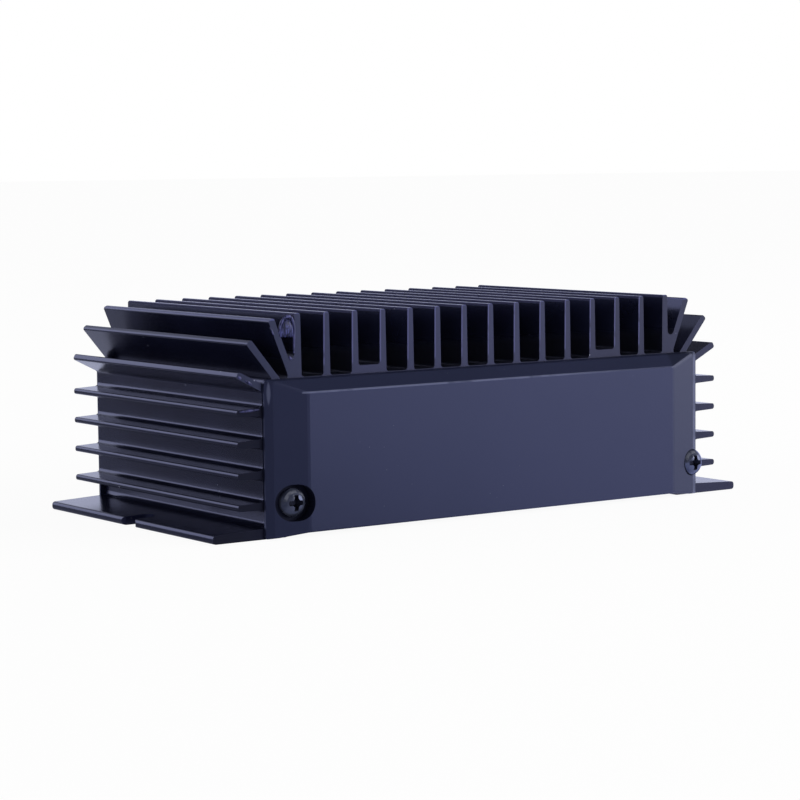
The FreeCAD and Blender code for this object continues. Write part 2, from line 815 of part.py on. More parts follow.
def rf_transistor(x):
    # metal tab along the top, moulded package under its rear part, three leads bent down to the board
    top = transistor_top_z
    tab_front = transistor_y - tab_hole_offset
    case_front = tab_front + tab_length
    case_rear = case_front + package_length
    half = package_width / 2
    tab = box(x - half, x + half, tab_front, case_rear, top - tab_thickness, top)
    hole_start = at(x, transistor_y, top - tab_thickness - over)
    hole = rod(hole_start, Z_AXIS, tab_hole_radius, tab_thickness + 2 * over)
    case = box(x - half, x + half, case_front, case_rear, top - package_height, top - tab_thickness)
    low_edges = [e for e in case.Edges if e.BoundBox.ZMax < top - package_height + fit_gap]
    parts = [tab.cut(hole), case.makeChamfer(package_chamfer, low_edges)]
    lead_z = top - package_height / 2 - lead_thickness
    lead_end = case_rear + lead_reach
    for i in (-1, 0, 1):
        left = x + i * lead_pitch - lead_width / 2
        right = left + lead_width
        parts.append(box(left, right, case_rear - lead_root, lead_end, lead_z, lead_z + lead_thickness))
        lead_bend = lead_end - lead_thickness
        parts.append(box(left, right, lead_bend, lead_end, board_top_z, lead_z + lead_thickness))
    return joined(parts)


def transistor_screws():
    screw = pan_screw(roof_hole_depth - thread_end_gap + insulator_thickness + tab_thickness)
    seat_z = transistor_top_z - tab_thickness
    return group([placed(screw, at(x, y, seat_z), -Z_AXIS) for x, y in transistor_places()])


# ---------------------------------------------------------------- changeover relay

def relay_block(inset, z0, z1):
    half_x = relay_length / 2 - inset
    half_y = relay_width / 2 - inset
    return box(relay_x - half_x, relay_x + half_x, relay_y - half_y, relay_y + half_y, z0, z1)


def relay_strip(x0, x1, width, z0, z1):
    return box(x0, x1, relay_y - width / 2, relay_y + width / 2, z0, z1)


def relay_base():
    return relay_block(0, relay_base_z, board_z)


def relay_case():
    outer = relay_block(0, relay_inner_floor_z - relay_wall, relay_base_z)
    low_edges = [e for e in outer.Edges if e.BoundBox.ZMin < relay_base_z - relay_wall]
    inner = relay_block(relay_wall, relay_inner_floor_z, relay_base_z + over)
    return outer.makeFillet(relay_edge_radius, low_edges).cut(inner)


def relay_yoke():
    # L-shaped iron with the coil's core
    left = hinge_x - yoke_thickness / 2
    sole_z = relay_base_z - yoke_thickness
    sole = relay_strip(left, core_x + core_radius + yoke_sole_margin, yoke_width, sole_z, relay_base_z)
    leg = relay_strip(left, left + yoke_thickness, yoke_width, yoke_end_z, relay_base_z)
    core = rod(at(core_x, relay_y, yoke_end_z), Z_AXIS, core_radius, yoke_leg)
    return joined([sole, leg, core])


def relay_bobbin():
    start = at(core_x, relay_y, yoke_end_z + bobbin_end_gap)
    length = yoke_leg - bobbin_end_gap
    hole = rod(start, Z_AXIS, core_radius + fit_gap, length)
    barrel = rod(start, Z_AXIS, core_radius + bobbin_wall, length)
    low = rod(start, Z_AXIS, bobbin_radius, bobbin_flange)
    high = rod(start + Z_AXIS * (length - bobbin_flange), Z_AXIS, bobbin_radius, bobbin_flange)
    return joined([barrel, low, high]).cut(hole)


def relay_winding():
    start = at(core_x, relay_y, yoke_end_z + bobbin_end_gap + bobbin_flange)
    length = yoke_leg - bobbin_end_gap - 2 * bobbin_flange
    barrel = rod(start, Z_AXIS, core_radius + bobbin_wall, length)
    return rod(start, Z_AXIS, winding_radius, length).cut(barrel)


def swung(shape):
    # turns a piece made in the closed position to its open rest position about the hinge line
    shape.rotate(at(hinge_x, relay_y, yoke_end_z), Y_AXIS, armature_open_deg)
    return shape


def relay_armature():
    top = yoke_end_z - hinge_clearance
    plate = relay_strip(hinge_x - yoke_thickness / 2, armature_end_x, yoke_width, top - armature_thickness, top)
    return swung(plate.makeFillet(armature_corner_radius, edges_along(plate, Z_AXIS)))


def relay_blade():
    low = blade_top_z - blade_thickness
    leaf = relay_strip(armature_end_x - blade_overlap, blade_end_x, blade_width, low, blade_top_z)
    upper = rod(at(blade_contact_x, relay_y, blade_top_z), Z_AXIS, contact_radius, contact_height)
    lower = rod(at(blade_contact_x, relay_y, low - contact_height), Z_AXIS, contact_radius, contact_height)
    return swung(joined([leaf, upper, lower]))


def fixed_contact(tip_z, way, side):
    # strip with a tip that faces the blade, carried by a post beside it from the relay's base
    back_z = tip_z + way * contact_height
    low = min(back_z, back_z + way * contact_strip)
    high = low + contact_strip
    post_end_x = contact_post_x + contact_strip
    post_y = relay_y + side * (contact_strip_width / 2 + contact_post_gap)
    post_end_y = post_y + side * contact_post_width
    strip = relay_strip(blade_contact_x - contact_radius, post_end_x, contact_strip_width, low, high)
    foot = box(contact_post_x, post_end_x, min(relay_y, post_end_y), max(relay_y, post_end_y), low, high)
    post = box(contact_post_x, post_end_x, min(post_y, post_end_y), max(post_y, post_end_y), low, relay_base_z)
    tip = rod(at(blade_contact_x, relay_y, min(tip_z, back_z)), Z_AXIS, contact_radius, contact_height)
    return joined([strip, foot, post, tip])


def relay_fixed_contacts():
    # changeover pair: the blade rests near the lower contact and is pulled up to the upper one
    return group([fixed_contact(upper_contact_z, 1, -1), fixed_contact(lower_contact_z, -1, 1)])


# ---------------------------------------------------------------- board components

def spot(share):
    # place on the board, from its shares of the half width and the half depth
    return (share[0] * board_half_width, share[1] * half_depth)


def leg(x, y, low, radius):
    return rod(at(x, y, low), Z_AXIS, radius, board_z - low)


def ferrite(share, size, bore_radius):
    # block with two holes along Y, its flat side against the board
    x, y = spot(share)
    length, width, height = size
    core = box(x - width / 2, x + width / 2, y - length / 2, y + length / 2, board_z - height, board_z)
    core = core.makeFillet(height * ferrite_edge_share, edges_along(core, Y_AXIS))
    middle = board_z - height / 2
    holes = [rod(at(x + way * width / 4, y - length / 2 - over, middle), Y_AXIS, bore_radius, length + 2 * over)
             for way in (-1, 1)]
    return core.cut(holes)


def heavy_turn(share, size, radius):
    # one turn through both holes of a ferrite, with its ends bent up to the board
    x, y = spot(share)
    length, width, height = size
    middle = board_z - height / 2
    front = y - length / 2 - turn_reach
    rear = y + length / 2 + turn_reach
    left = x - width / 4
    right = x + width / 4
    points = [at(left, rear, board_z), at(left, rear, middle), at(left, front, middle),
              at(right, front, middle), at(right, rear, middle), at(right, rear, board_z)]
    return bent_rod(points, radius, turn_bend)


def filter_coil(share, turns):
    # air-wound coil along X; its ends lie at the top, and short legs join them to the board
    x, y = spot(share)
    axis_z = board_z - coil_radius - coil_wire - fit_gap
    length = turns * coil_pitch
    helix = Part.makeHelix(coil_pitch, length, coil_radius)
    circle = Part.Wire(Part.makeCircle(coil_wire, at(coil_radius, 0, 0), Y_AXIS))
    wire = Part.Wire(helix.Edges).makePipeShell([circle], True, True)
    wire.rotate(at(0, 0, 0), Y_AXIS, -90)
    wire.translate(at(x + length / 2, y, axis_z))
    legs = [leg(x + way * length / 2, y, axis_z + coil_radius, coil_leg_radius) for way in (-1, 1)]
    return joined([wire] + legs)


def choke_core():
    x, y = spot(choke_share)
    return Part.makeTorus(choke_radius, choke_section, at(x, y, choke_middle_z), Z_AXIS)


def choke_winding():
    # separate wire loops round the ring
    x, y = spot(choke_share)
    loop_radius = choke_section + choke_wire + fit_gap
    loops = []
    for i in range(choke_turns):
        angle = math.radians(choke_first_deg + i * choke_spread_deg / (choke_turns - 1))
        centre = at(x + choke_radius * math.cos(angle), y + choke_radius * math.sin(angle), choke_middle_z)
        loops.append(Part.makeTorus(loop_radius, choke_wire, centre, at(-math.sin(angle), math.cos(angle), 0)))
    return group(loops)


def electrolytic_capacitor():
    x, y = spot(electrolytic_share)
    can = rod(at(x, y, board_z - electrolytic_height), Z_AXIS, electrolytic_radius, electrolytic_height)
    can = can.makeFillet(electrolytic_edge, round_edges(can))
    groove_centre = at(x, y, board_z - groove_drop)
    return can.cut(Part.makeTorus(electrolytic_radius + groove_outset, groove_radius, groove_centre, Z_AXIS))


def ceramic_capacitors():
    discs = []
    middle = board_z - disc_stand - disc_radius
    for x, y in map(spot, disc_shares):
        disc = rod(at(x, y - disc_thickness / 2, middle), Y_AXIS, disc_radius, disc_thickness)
        disc = disc.makeFillet(disc_edge, round_edges(disc))
        legs = [leg(x + way * disc_leg_spread, y, middle, leg_radius) for way in (-1, 1)]
        discs.append(joined([disc] + legs))
    return group(discs)


def axial_part(x, y, radius, length):
    # round body along X with leads bent up to the board
    middle = board_z - radius - axial_stand
    body = rod(at(x - length / 2, y, middle), X_AXIS, radius, length)
    body = body.makeFillet(radius * axial_edge_share, round_edges(body))
    left = x - axial_leg_span / 2
    right = x + axial_leg_span / 2
    points = [at(left, y, board_z), at(left, y, middle), at(right, y, middle), at(right, y, board_z)]
    return joined([body, bent_rod(points, leg_radius, axial_bend)])


def resistors():
    return group([axial_part(x, y, resistor_radius, resistor_length) for x, y in map(spot, resistor_shares)])


def bias_diodes():
    return group([axial_part(x, y, diode_radius, diode_length) for x, y in map(spot, diode_shares)])


def keying_transistor():
    # small round package with one flat side, on three legs
    x, y = spot(keying_share)
    high = board_z - keying_stand
    low = high - keying_height
    case = rod(at(x, y, low), Z_AXIS, keying_radius, keying_height)
    flat = box(x - keying_radius, x + keying_radius, y + keying_flat, y + keying_radius,
               low - over, high + over)
    legs = [leg(x + i * keying_leg_pitch, y, high - lead_root, keying_leg_radius) for i in (-1, 0, 1)]
    return joined([case.cut(flat)] + legs)


def power_terminals():
    # two flat solder tags behind the relay for the supply lead
    tags = []
    half = terminal_width / 2
    low = board_z - terminal_height
    for x in (relay_x - terminal_x, relay_x + terminal_x):
        tag = box(x - half, x + half, terminal_y - terminal_thickness / 2, terminal_y + terminal_thickness / 2,
                  low, board_z)
        low_corners = [e for e in edges_along(tag, Y_AXIS) if e.BoundBox.ZMax < low + terminal_corner]
        hole_start = at(x, terminal_y - over, board_z - terminal_hole_height)
        hole = rod(hole_start, Y_AXIS, terminal_hole_radius, 2 * over)
        tags.append(tag.makeFillet(terminal_corner, low_corners).cut(hole))
    return group(tags)


# ---------------------------------------------------------------- coax sockets

def socket_centres():
    return (-socket_x, socket_x)


def socket_hole_offsets():
    half = socket_hole_spacing / 2
    return [(-half, -half), (-half, half), (half, -half), (half, half)]


def socket_screw_places():
    return [(x + dx, socket_z + dz) for x in socket_centres() for dx, dz in socket_hole_offsets()]


def socket_shell(x):
    half = socket_flange / 2
    flange = box(x - half, x + half, socket_flange_y, socket_barrel_y, socket_z - half, socket_z + half)
    flange = flange.makeFillet(socket_flange_radius, edges_along(flange, Y_AXIS))
    barrel = rod(at(x, socket_barrel_y, socket_z), Y_AXIS, socket_barrel_radius, socket_barrel_length)
    rim = [e for e in round_edges(barrel) if e.BoundBox.YMin > socket_end_y - socket_barrel_chamfer]
    barrel = barrel.makeChamfer(socket_barrel_chamfer, rim)
    back = rod(at(x, socket_back_y, socket_z), Y_AXIS, socket_back_radius, socket_back_length)
    mouth = rod(at(x, socket_floor_y, socket_z), Y_AXIS, socket_mouth_radius, socket_mouth_depth + over)
    core_start = at(x, socket_back_y - over, socket_z)
    core = rod(core_start, Y_AXIS, insulator_radius + fit_gap, socket_end_y - socket_back_y)
    holes = [rod(at(x + dx, socket_flange_y - over, socket_z + dz), Y_AXIS, m3_clear_radius,
                 socket_flange_thickness + 2 * over) for dx, dz in socket_hole_offsets()]
    return joined([flange, barrel, back]).cut([mouth, core] + holes)


def socket_insulator(x):
    length = socket_floor_y + insulator_nose - socket_back_y
    body = rod(at(x, socket_back_y, socket_z), Y_AXIS, insulator_radius, length)
    hole_start = at(x, socket_back_y - over, socket_z)
    return body.cut(rod(hole_start, Y_AXIS, contact_sleeve_radius + fit_gap, length + 2 * over))


def socket_contact(x):
    end = socket_end_y - contact_end_gap
    sleeve = rod(at(x, socket_tail_y, socket_z), Y_AXIS, contact_sleeve_radius, end - socket_tail_y)
    cup = rod(at(x, socket_tail_y - solder_cup_length, socket_z), Y_AXIS, solder_cup_radius, solder_cup_length)
    bore = rod(at(x, end, socket_z), -Y_AXIS, contact_bore_radius, contact_bore_depth)
    return joined([sleeve, cup]).cut(bore)


def socket_screws():
    screw = pan_screw(socket_screw_length)
    return group([placed(screw, at(x, socket_barrel_y, z), Y_AXIS) for x, z in socket_screw_places()])


def socket_nuts():
    nuts = []
    radius = nut_across_flats / 2 / math.cos(math.pi / 6)
    for x, z in socket_screw_places():
        angles = [math.radians(60 * i) for i in range(6)]
        points = [at(x + radius * math.cos(a), nut_seat_y, z + radius * math.sin(a)) for a in angles]
        nut = Part.Face(Part.makePolygon(points + points[:1])).extrude(-Y_AXIS * nut_height)
        hole = rod(at(x, nut_seat_y + over, z), -Y_AXIS, m3_hole_radius, nut_height + 2 * over)
        nuts.append(nut.cut(hole))
    return group(nuts)


def socket_wire(x):
    # from the solder cup forward and up to the board
    start = at(x, socket_tail_y - solder_cup_length, socket_z)
    points = [start, at(x, wire_drop_y, socket_z), at(x, wire_drop_y, board_z)]
    return bent_rod(points, wire_radius, wire_bend)


def power_grommet():
    thick = grommet_flange_thickness
    outside = half_depth + cover_depth
    inside = nut_seat_y
    neck = rod(at(0, inside, grommet_z), Y_AXIS, grommet_neck_radius, outside - inside)
    inner = rod(at(0, inside, grommet_z), -Y_AXIS, grommet_flange_radius, thick)
    outer = rod(at(0, outside, grommet_z), Y_AXIS, grommet_flange_radius, thick)
    rim = [e for e in round_edges(outer) if e.BoundBox.YMin > outside + thick - fit_gap]
    bore_start = at(0, inside - thick - over, grommet_z)
    bore = rod(bore_start, Y_AXIS, grommet_bore_radius, outside - inside + 2 * thick + 2 * over)
    return joined([neck, inner, outer.makeFillet(grommet_edge, rim)]).cut(bore)


# ---------------------------------------------------------------- all pieces

def pieces():
    parts = {
        "heatsink_housing": heatsink_housing(),
        "front_cover": front_cover(),
        "rear_cover": rear_cover(),
        "front_cover_screws": cover_screws(-1),
        "rear_cover_screws": cover_screws(1),
        "bottom_plate": bottom_plate(),
        "bottom_plate_screws": bottom_plate_screws(),
        "circuit_board": circuit_board(),
        "board_standoffs": board_standoffs(),
        "board_screws": board_screws(),
        "transistor_screws": transistor_screws(),
        "relay_base": relay_base(),
        "relay_yoke": relay_yoke(),
        "relay_bobbin": relay_bobbin(),
        "relay_winding": relay_winding(),
        "relay_armature": relay_armature(),
        "relay_blade": relay_blade(),
        "relay_fixed_contacts": relay_fixed_contacts(),
        "relay_case": relay_case(),
        "input_transformer_core": ferrite(input_transformer_share, input_transformer_size, input_bore_radius),
        "output_transformer_core": ferrite(output_transformer_share, output_transformer_size, output_bore_radius),
        "input_transformer_winding": heavy_turn(input_transformer_share, input_transformer_size,
                                                input_turn_radius),
        "output_transformer_winding": heavy_turn(output_transformer_share, output_transformer_size,
                                                 output_turn_radius),
        "choke_core": choke_core(),
        "choke_winding": choke_winding(),
        "electrolytic_capacitor": electrolytic_capacitor(),
        "ceramic_capacitors": ceramic_capacitors(),
        "resistors": resistors(),
        "bias_diodes": bias_diodes(),
        "keying_transistor": keying_transistor(),
        "power_terminals": power_terminals(),
        "socket_screws": socket_screws(),
        "socket_nuts": socket_nuts(),
        "power_grommet": power_grommet(),
    }
    for name, x in (("left", -rail_x), ("right", rail_x)):
        parts["rf_transistor_" + name] = rf_transistor(x)
        parts["transistor_insulator_" + name] = transistor_insulator(x)
    for name, x in (("radio", -socket_x), ("antenna", socket_x)):
        parts[name + "_socket_shell"] = socket_shell(x)
        parts[name + "_socket_insulator"] = socket_insulator(x)
        parts[name + "_socket_contact"] = socket_contact(x)
        parts[name + "_socket_wire"] = socket_wire(x)
    for number, (share, turns) in enumerate(zip(coil_shares, coil_turn_counts), 1):
        parts["filter_coil_" + str(number)] = filter_coil(share, turns)
    return parts


os.makedirs("parts", exist_ok=True)
for node, shape in pieces().items():
    print(node, "solids", len(shape.Solids), "valid", shape.isValid(), "volume", round(shape.Volume, 1))
    shape.exportStep("parts/" + node + ".step")
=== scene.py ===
import bmesh
import bpy
import math
from mathutils import Matrix, Vector


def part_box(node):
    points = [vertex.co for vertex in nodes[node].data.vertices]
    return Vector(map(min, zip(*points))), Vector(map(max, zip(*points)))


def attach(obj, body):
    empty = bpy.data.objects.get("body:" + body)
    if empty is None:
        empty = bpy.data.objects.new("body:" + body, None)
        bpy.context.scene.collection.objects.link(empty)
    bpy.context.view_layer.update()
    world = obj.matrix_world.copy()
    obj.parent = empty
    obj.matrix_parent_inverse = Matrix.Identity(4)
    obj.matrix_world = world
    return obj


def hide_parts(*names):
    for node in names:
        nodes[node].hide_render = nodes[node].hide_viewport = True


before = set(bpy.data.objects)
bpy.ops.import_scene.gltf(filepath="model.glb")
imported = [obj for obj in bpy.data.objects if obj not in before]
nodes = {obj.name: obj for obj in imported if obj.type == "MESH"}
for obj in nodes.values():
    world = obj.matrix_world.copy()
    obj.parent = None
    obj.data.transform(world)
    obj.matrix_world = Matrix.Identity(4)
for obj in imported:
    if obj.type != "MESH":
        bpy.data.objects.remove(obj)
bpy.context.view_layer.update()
print("frame loaded:", len(nodes), "nodes")


# shader helpers: a socket with arithmetic, and a finish that makes its nodes

class Wire:
    # one output socket; an expression on it adds Math nodes
    def __init__(self, finish, socket):
        self.finish = finish
        self.socket = socket

    def calc(self, operation, first, second=0.0):
        return self.finish.node("ShaderNodeMath", {"operation": operation}, {0: first, 1: second})

    def __add__(self, other):
        return self.calc("ADD", self, other)

    def __radd__(self, other):
        return self.calc("ADD", other, self)

    def __sub__(self, other):
        return self.calc("SUBTRACT", self, other)

    def __rsub__(self, other):
        return self.calc("SUBTRACT", other, self)

    def __mul__(self, other):
        return self.calc("MULTIPLY", self, other)

    def __rmul__(self, other):
        return self.calc("MULTIPLY", other, self)

    def __pow__(self, other):
        return self.calc("POWER", self, other)

    def __abs__(self):
        return self.calc("ABSOLUTE", self)

    def over(self, low, high):
        # 0 below low, 1 above high, smooth between them
        settings = {"interpolation_type": "SMOOTHSTEP"}
        return self.finish.node("ShaderNodeMapRange", settings, {0: self, 1: low, 2: high})

    def under(self, low, high):
        return 1 - self.over(low, high)

    def wave(self, count):
        # 0 to 1 and back, count times a metre
        return (self * (count * 2 * math.pi)).sine() * 0.5 + 0.5

    def sine(self):
        return self.calc("SINE", self)

    def largest(self, other):
        return self.calc("MAXIMUM", self, other)

    def toNearest(self, step):
        # signed distance from the nearest multiple of step
        return self - self.calc("SNAP", self + step / 2, step)

    def within(self, middle, reach, soft):
        # 1 inside reach of the middle, 0 outside, with a soft edge
        return abs(self - middle).under(reach, reach + soft)


class Finish:
    # a material or world with its node tree
    def __init__(self, owner):
        self.owner = owner
        owner.use_nodes = True
        self.tree = owner.node_tree
        self.tree.nodes.clear()

    def node(self, kind, settings=None, sockets=None, output=0):
        made = self.tree.nodes.new(kind)
        for key, value in (settings or {}).items():
            setattr(made, key, value)
        for key, value in (sockets or {}).items():
            if isinstance(value, Wire):
                self.tree.links.new(value.socket, made.inputs[key])
            else:
                made.inputs[key].default_value = value
        return Wire(self, made.outputs[output]) if made.outputs else made

    def place(self, output=3):
        # 3 is the place on the object, in metres, and 0 the direction in a world
        return self.node("ShaderNodeTexCoord", output=output)

    def axes(self, output=3):
        split = self.node("ShaderNodeSeparateXYZ", sockets={0: self.place(output)})
        return [Wire(self, out) for out in split.socket.node.outputs]

    def rays(self, *kinds):
        path = self.node("ShaderNodeLightPath").socket.node
        return [Wire(self, path.outputs[kind]) for kind in kinds]

    def grain(self, scale, detail=3.0, rough=0.5, stretch=(1, 1, 1), warp=0.0):
        # soft noise from 0 to 1, features about 1/scale metres across
        where = self.node("ShaderNodeVectorMath", {"operation": "MULTIPLY"}, {0: self.place(), 1: stretch})
        sockets = {"Vector": where, "Scale": scale, "Detail": detail, "Roughness": rough, "Distortion": warp}
        return self.node("ShaderNodeTexNoise", sockets=sockets)

    def cells(self, scale, feature="F1"):
        # distance from the nearest of many scattered points, or from the edge between two
        sockets = {"Vector": self.place(), "Scale": scale}
        return self.node("ShaderNodeTexVoronoi", {"feature": feature}, sockets)

    def blend(self, mask, low, high):
        return self.node("ShaderNodeMix", {"data_type": "RGBA"}, {0: mask, 6: low, 7: high}, output=2)

    def mixShaders(self, mask, low, high):
        return self.node("ShaderNodeMixShader", sockets={0: mask, 1: low, 2: high})

    def bump(self, height, depth):
        return self.node("ShaderNodeBump", sockets={"Height": height, "Distance": depth})

    def surface(self, colour, roughness, metallic, normal, **fixed):
        sockets = {"Base Color": colour, "Roughness": roughness, "Metallic": metallic, "Normal": normal}
        for key, value in fixed.items():
            sockets[key.replace("_", " ")] = value
        shader = self.node("ShaderNodeBsdfPrincipled", sockets=sockets)
        self.node("ShaderNodeOutputMaterial", sockets={"Surface": shader})
        return self.owner


def largestOf(masks):
    joined = masks[0]
    for mask in masks[1:]:
        joined = joined.largest(mask)
    return joined


def shade(red, green, blue):
    # display colour, 0 to 255, as a linear one
    def straight(level):
        level = level / 255
        return level / 12.92 if level <= 0.04045 else ((level + 0.055) / 1.055) ** 2.4
    return (straight(red), straight(green), straight(blue), 1.0)


def newFinish(name):
    return Finish(bpy.data.materials.new(name))


# in the finishes' dictionaries a pair says where a mask starts and where it is full, three numbers are its
# middle, reach and soft edge, and a Grain holds the scale, detail, roughness, stretch and warp of a noise

# painted extrusion
housingLook = {
    "paint": shade(30, 33, 58), "paintDeep": shade(21, 23, 43), "mottle": (0.3, 0.75),
    "tint": (0.55, 0.58, 1.0, 1.0), "rough": 0.22, "cloudRough": 0.05, "lineRough": 0.03, "dryRough": 0.4,
    "waveDepth": 0.000012, "peelHeight": 0.2, "lineHeight": 0.03, "sawHeight": 0.2,
    "cloudGrain": (55, 4), "peelGrain": (1700, 2),
    "lineGrain": (1, 3, 0.6, (700, 9, 700)),      # drawn lines along the extrusion
    "waveGrain": (1, 2, 0.5, (150, 330, 150)),    # uneven coat
    "sawGrain": (1, 2, 0.6, (160, 160, 2600)),    # saw marks on the cut ends
    # cut ends, from the left to the right, darker towards the right as painted shade, with the paint thin in
    # patches
    "ends": (0.03445, 0.03448), "endRough": 0.14,
    "endLeft": shade(24, 31, 52), "endMiddle": shade(36, 39, 64), "endRight": shade(9, 10, 24),
    "toMiddle": (-0.056, -0.036), "toRight": (0.0, 0.04),
    "coatShare": 0.3, "coatGrain": (90, 3), "coatPatch": (0.4, 0.8),
    # painted shade on the cut ends of the level fins on the left, which are also rougher
    "endShade": shade(9, 10, 20), "shadeShare": 0.85, "shadeX": (-0.0575, -0.0572), "shadeZ": (0.028, 0.029),
    # painted highlight along one edge of each upright fin's cut end
    "finPitch": 0.007, "finHalf": 0.00068, "finTop": 0.0455, "finTaper": 0.0131,
    "edge": shade(88, 90, 140), "edgeShare": 0.7, "edgeWide": (0.0002, 0.0004), "edgeFoot": (0.0342, 0.0352),
    "edgeLast": (0.0455, 0.0456), "edgeGrain": (260, 2), "edgePatch": (0.28, 0.5),
    # painted highlight on the tips, which reaches lower past the upright fins
    "tip": shade(94, 97, 158), "tipShare": 0.5, "tipCloud": 0.2,
    "tipZ": (0.0453, 0.04542), "outerTipZ": (0.0441, 0.0444), "outer": (0.0535, 0.0538),
    # painted shade on the shoulders, which are also rougher, measured down from the top of the upright fins
    "shoulder": shade(30, 28, 60), "shoulderShare": 0.9, "shoulderRough": 0.5,
    "shoulderTop": (0.00008, 0.0002), "shoulderFoot": (0.00045, 0.0006),
    # painted shade low on the left side and towards its front, and low down between the top fins
    "deep": shade(10, 11, 22), "deepShare": 0.75,
    "leftX": (-0.0572, -0.0569), "leftFoot": (0.0026, 0.003), "leftTop": (0.0285, 0.029),
    "leftFrontShare": 0.35, "leftFront": (-0.034, -0.022), "leftLow": (0.005, 0.010),
    "betweenFoot": (0.0318, 0.0322), "betweenTop": (0.036, 0.0385), "betweenX": (0.0525, 0.053),
    # small chips in the paint: scattered ones, and some as place and radius
    "bare": shade(150, 152, 170), "chipCells": 420, "chipSize": (0.04, 0.08),
    "chipGrain": (70, 1), "chipPatch": (0.64, 0.68), "nickCore": 0.6,
    "nicks": [((0.04896, -0.0349, 0.0314), 0.0003), ((0.0349, -0.0346, 0.0321), 0.00025),
              ((0.0272, -0.0346, 0.0331), 0.00025), ((-0.0637, 0.01484, 0.0064), 0.0003)],
}


def housingPaint():
    look = housingLook
    f = newFinish("housingPaint")
    x, y, z = f.axes()
    cloud, peel, lines, waves, saw = (f.grain(*look[name + "Grain"])
                                      for name in ("cloud", "peel", "line", "wave", "saw"))
    ends = abs(y).over(*look["ends"])
    walls = 1 - ends
    outer = abs(x).over(*look["outer"])
    colour = f.blend(cloud.over(*look["mottle"]), look["paintDeep"], look["paint"])
    # the cut ends turn darker towards the right: painted shade
    endColour = f.blend(x.over(*look["toMiddle"]), look["endLeft"], look["endMiddle"])
    endColour = f.blend(x.over(*look["toRight"]), endColour, look["endRight"])
    # painted shade on the cut ends of the level fins on the left
    shaded = x.under(*look["shadeX"]) * z.under(*look["shadeZ"])
    endColour = f.blend(look["shadeShare"] * shaded, endColour, look["endShade"])
    coat = f.grain(*look["coatGrain"]).over(*look["coatPatch"])
    endColour = f.blend(look["coatShare"] * coat, endColour, look["paint"])
    colour = f.blend(ends, colour, endColour)
    # painted highlights along one edge of the cut ends and on the tips
    side = x.toNearest(look["finPitch"])
    half = look["finHalf"] + (look["finTop"] - z) * look["finTaper"]
    paintedEdgeHighlight = (side + half).under(*look["edgeWide"]) * ends * z.over(*look["edgeFoot"])
    paintedEdgeHighlight = paintedEdgeHighlight * abs(x).under(*look["edgeLast"]) * f.grain(*look["edgeGrain"]).over(*look["edgePatch"])
    colour = f.blend(look["edgeShare"] * paintedEdgeHighlight, colour, look["edge"])
    # painted highlight on the tips
    tipHighlight = z.over(*look["tipZ"]).largest(z.over(*look["outerTipZ"]) * outer)
    colour = f.blend(tipHighlight * (look["tipShare"] + look["tipCloud"] * cloud), colour, look["tip"])
    # painted shade on the shoulders, low on the left side and between the top fins
    below = look["finTop"] - z
    shoulder = below.over(*look["shoulderTop"]) * below.under(*look["shoulderFoot"]) * (1 - outer) * walls
    left = x.under(*look["leftX"]) * z.over(*look["leftFoot"]) * z.under(*look["leftTop"])
    frontShare = look["leftFrontShare"] * y.under(*look["leftFront"])
    left = left * frontShare.largest(z.under(*look["leftLow"])) * walls
    between = z.over(*look["betweenFoot"]) * z.under(*look["betweenTop"])
    between = between * abs(x).under(*look["betweenX"]) * walls
    colour = f.blend(look["deepShare"] * left.largest(between), colour, look["deep"])
    # painted shade on the shoulders
    colour = f.blend(look["shoulderShare"] * shoulder, colour, look["shoulder"])
    # chips
    chips = f.cells(look["chipCells"]).under(*look["chipSize"])
    chips = chips * f.grain(*look["chipGrain"]).over(*look["chipPatch"])
    for spot, radius in look["nicks"]:
        away = f.node("ShaderNodeVectorMath", {"operation": "DISTANCE"}, {0: f.place(), 1: spot}, output=1)
        chips = chips.largest(away.under(radius * look["nickCore"], radius))
    colour = f.blend(chips, colour, look["bare"])
    rough = look["rough"] + look["cloudRough"] * (cloud - 0.5) + look["lineRough"] * (lines - 0.5)
    rough = rough + ends * look["endRough"] + look["dryRough"] * (ends * shaded).largest(between)
    rough = rough + look["shoulderRough"] * shoulder
    height = waves + look["peelHeight"] * peel + look["lineHeight"] * lines * walls
    height = height + look["sawHeight"] * ends * saw
    return f.surface(colour, rough, 0.0, f.bump(height, look["waveDepth"]), Specular_Tint=look["tint"])


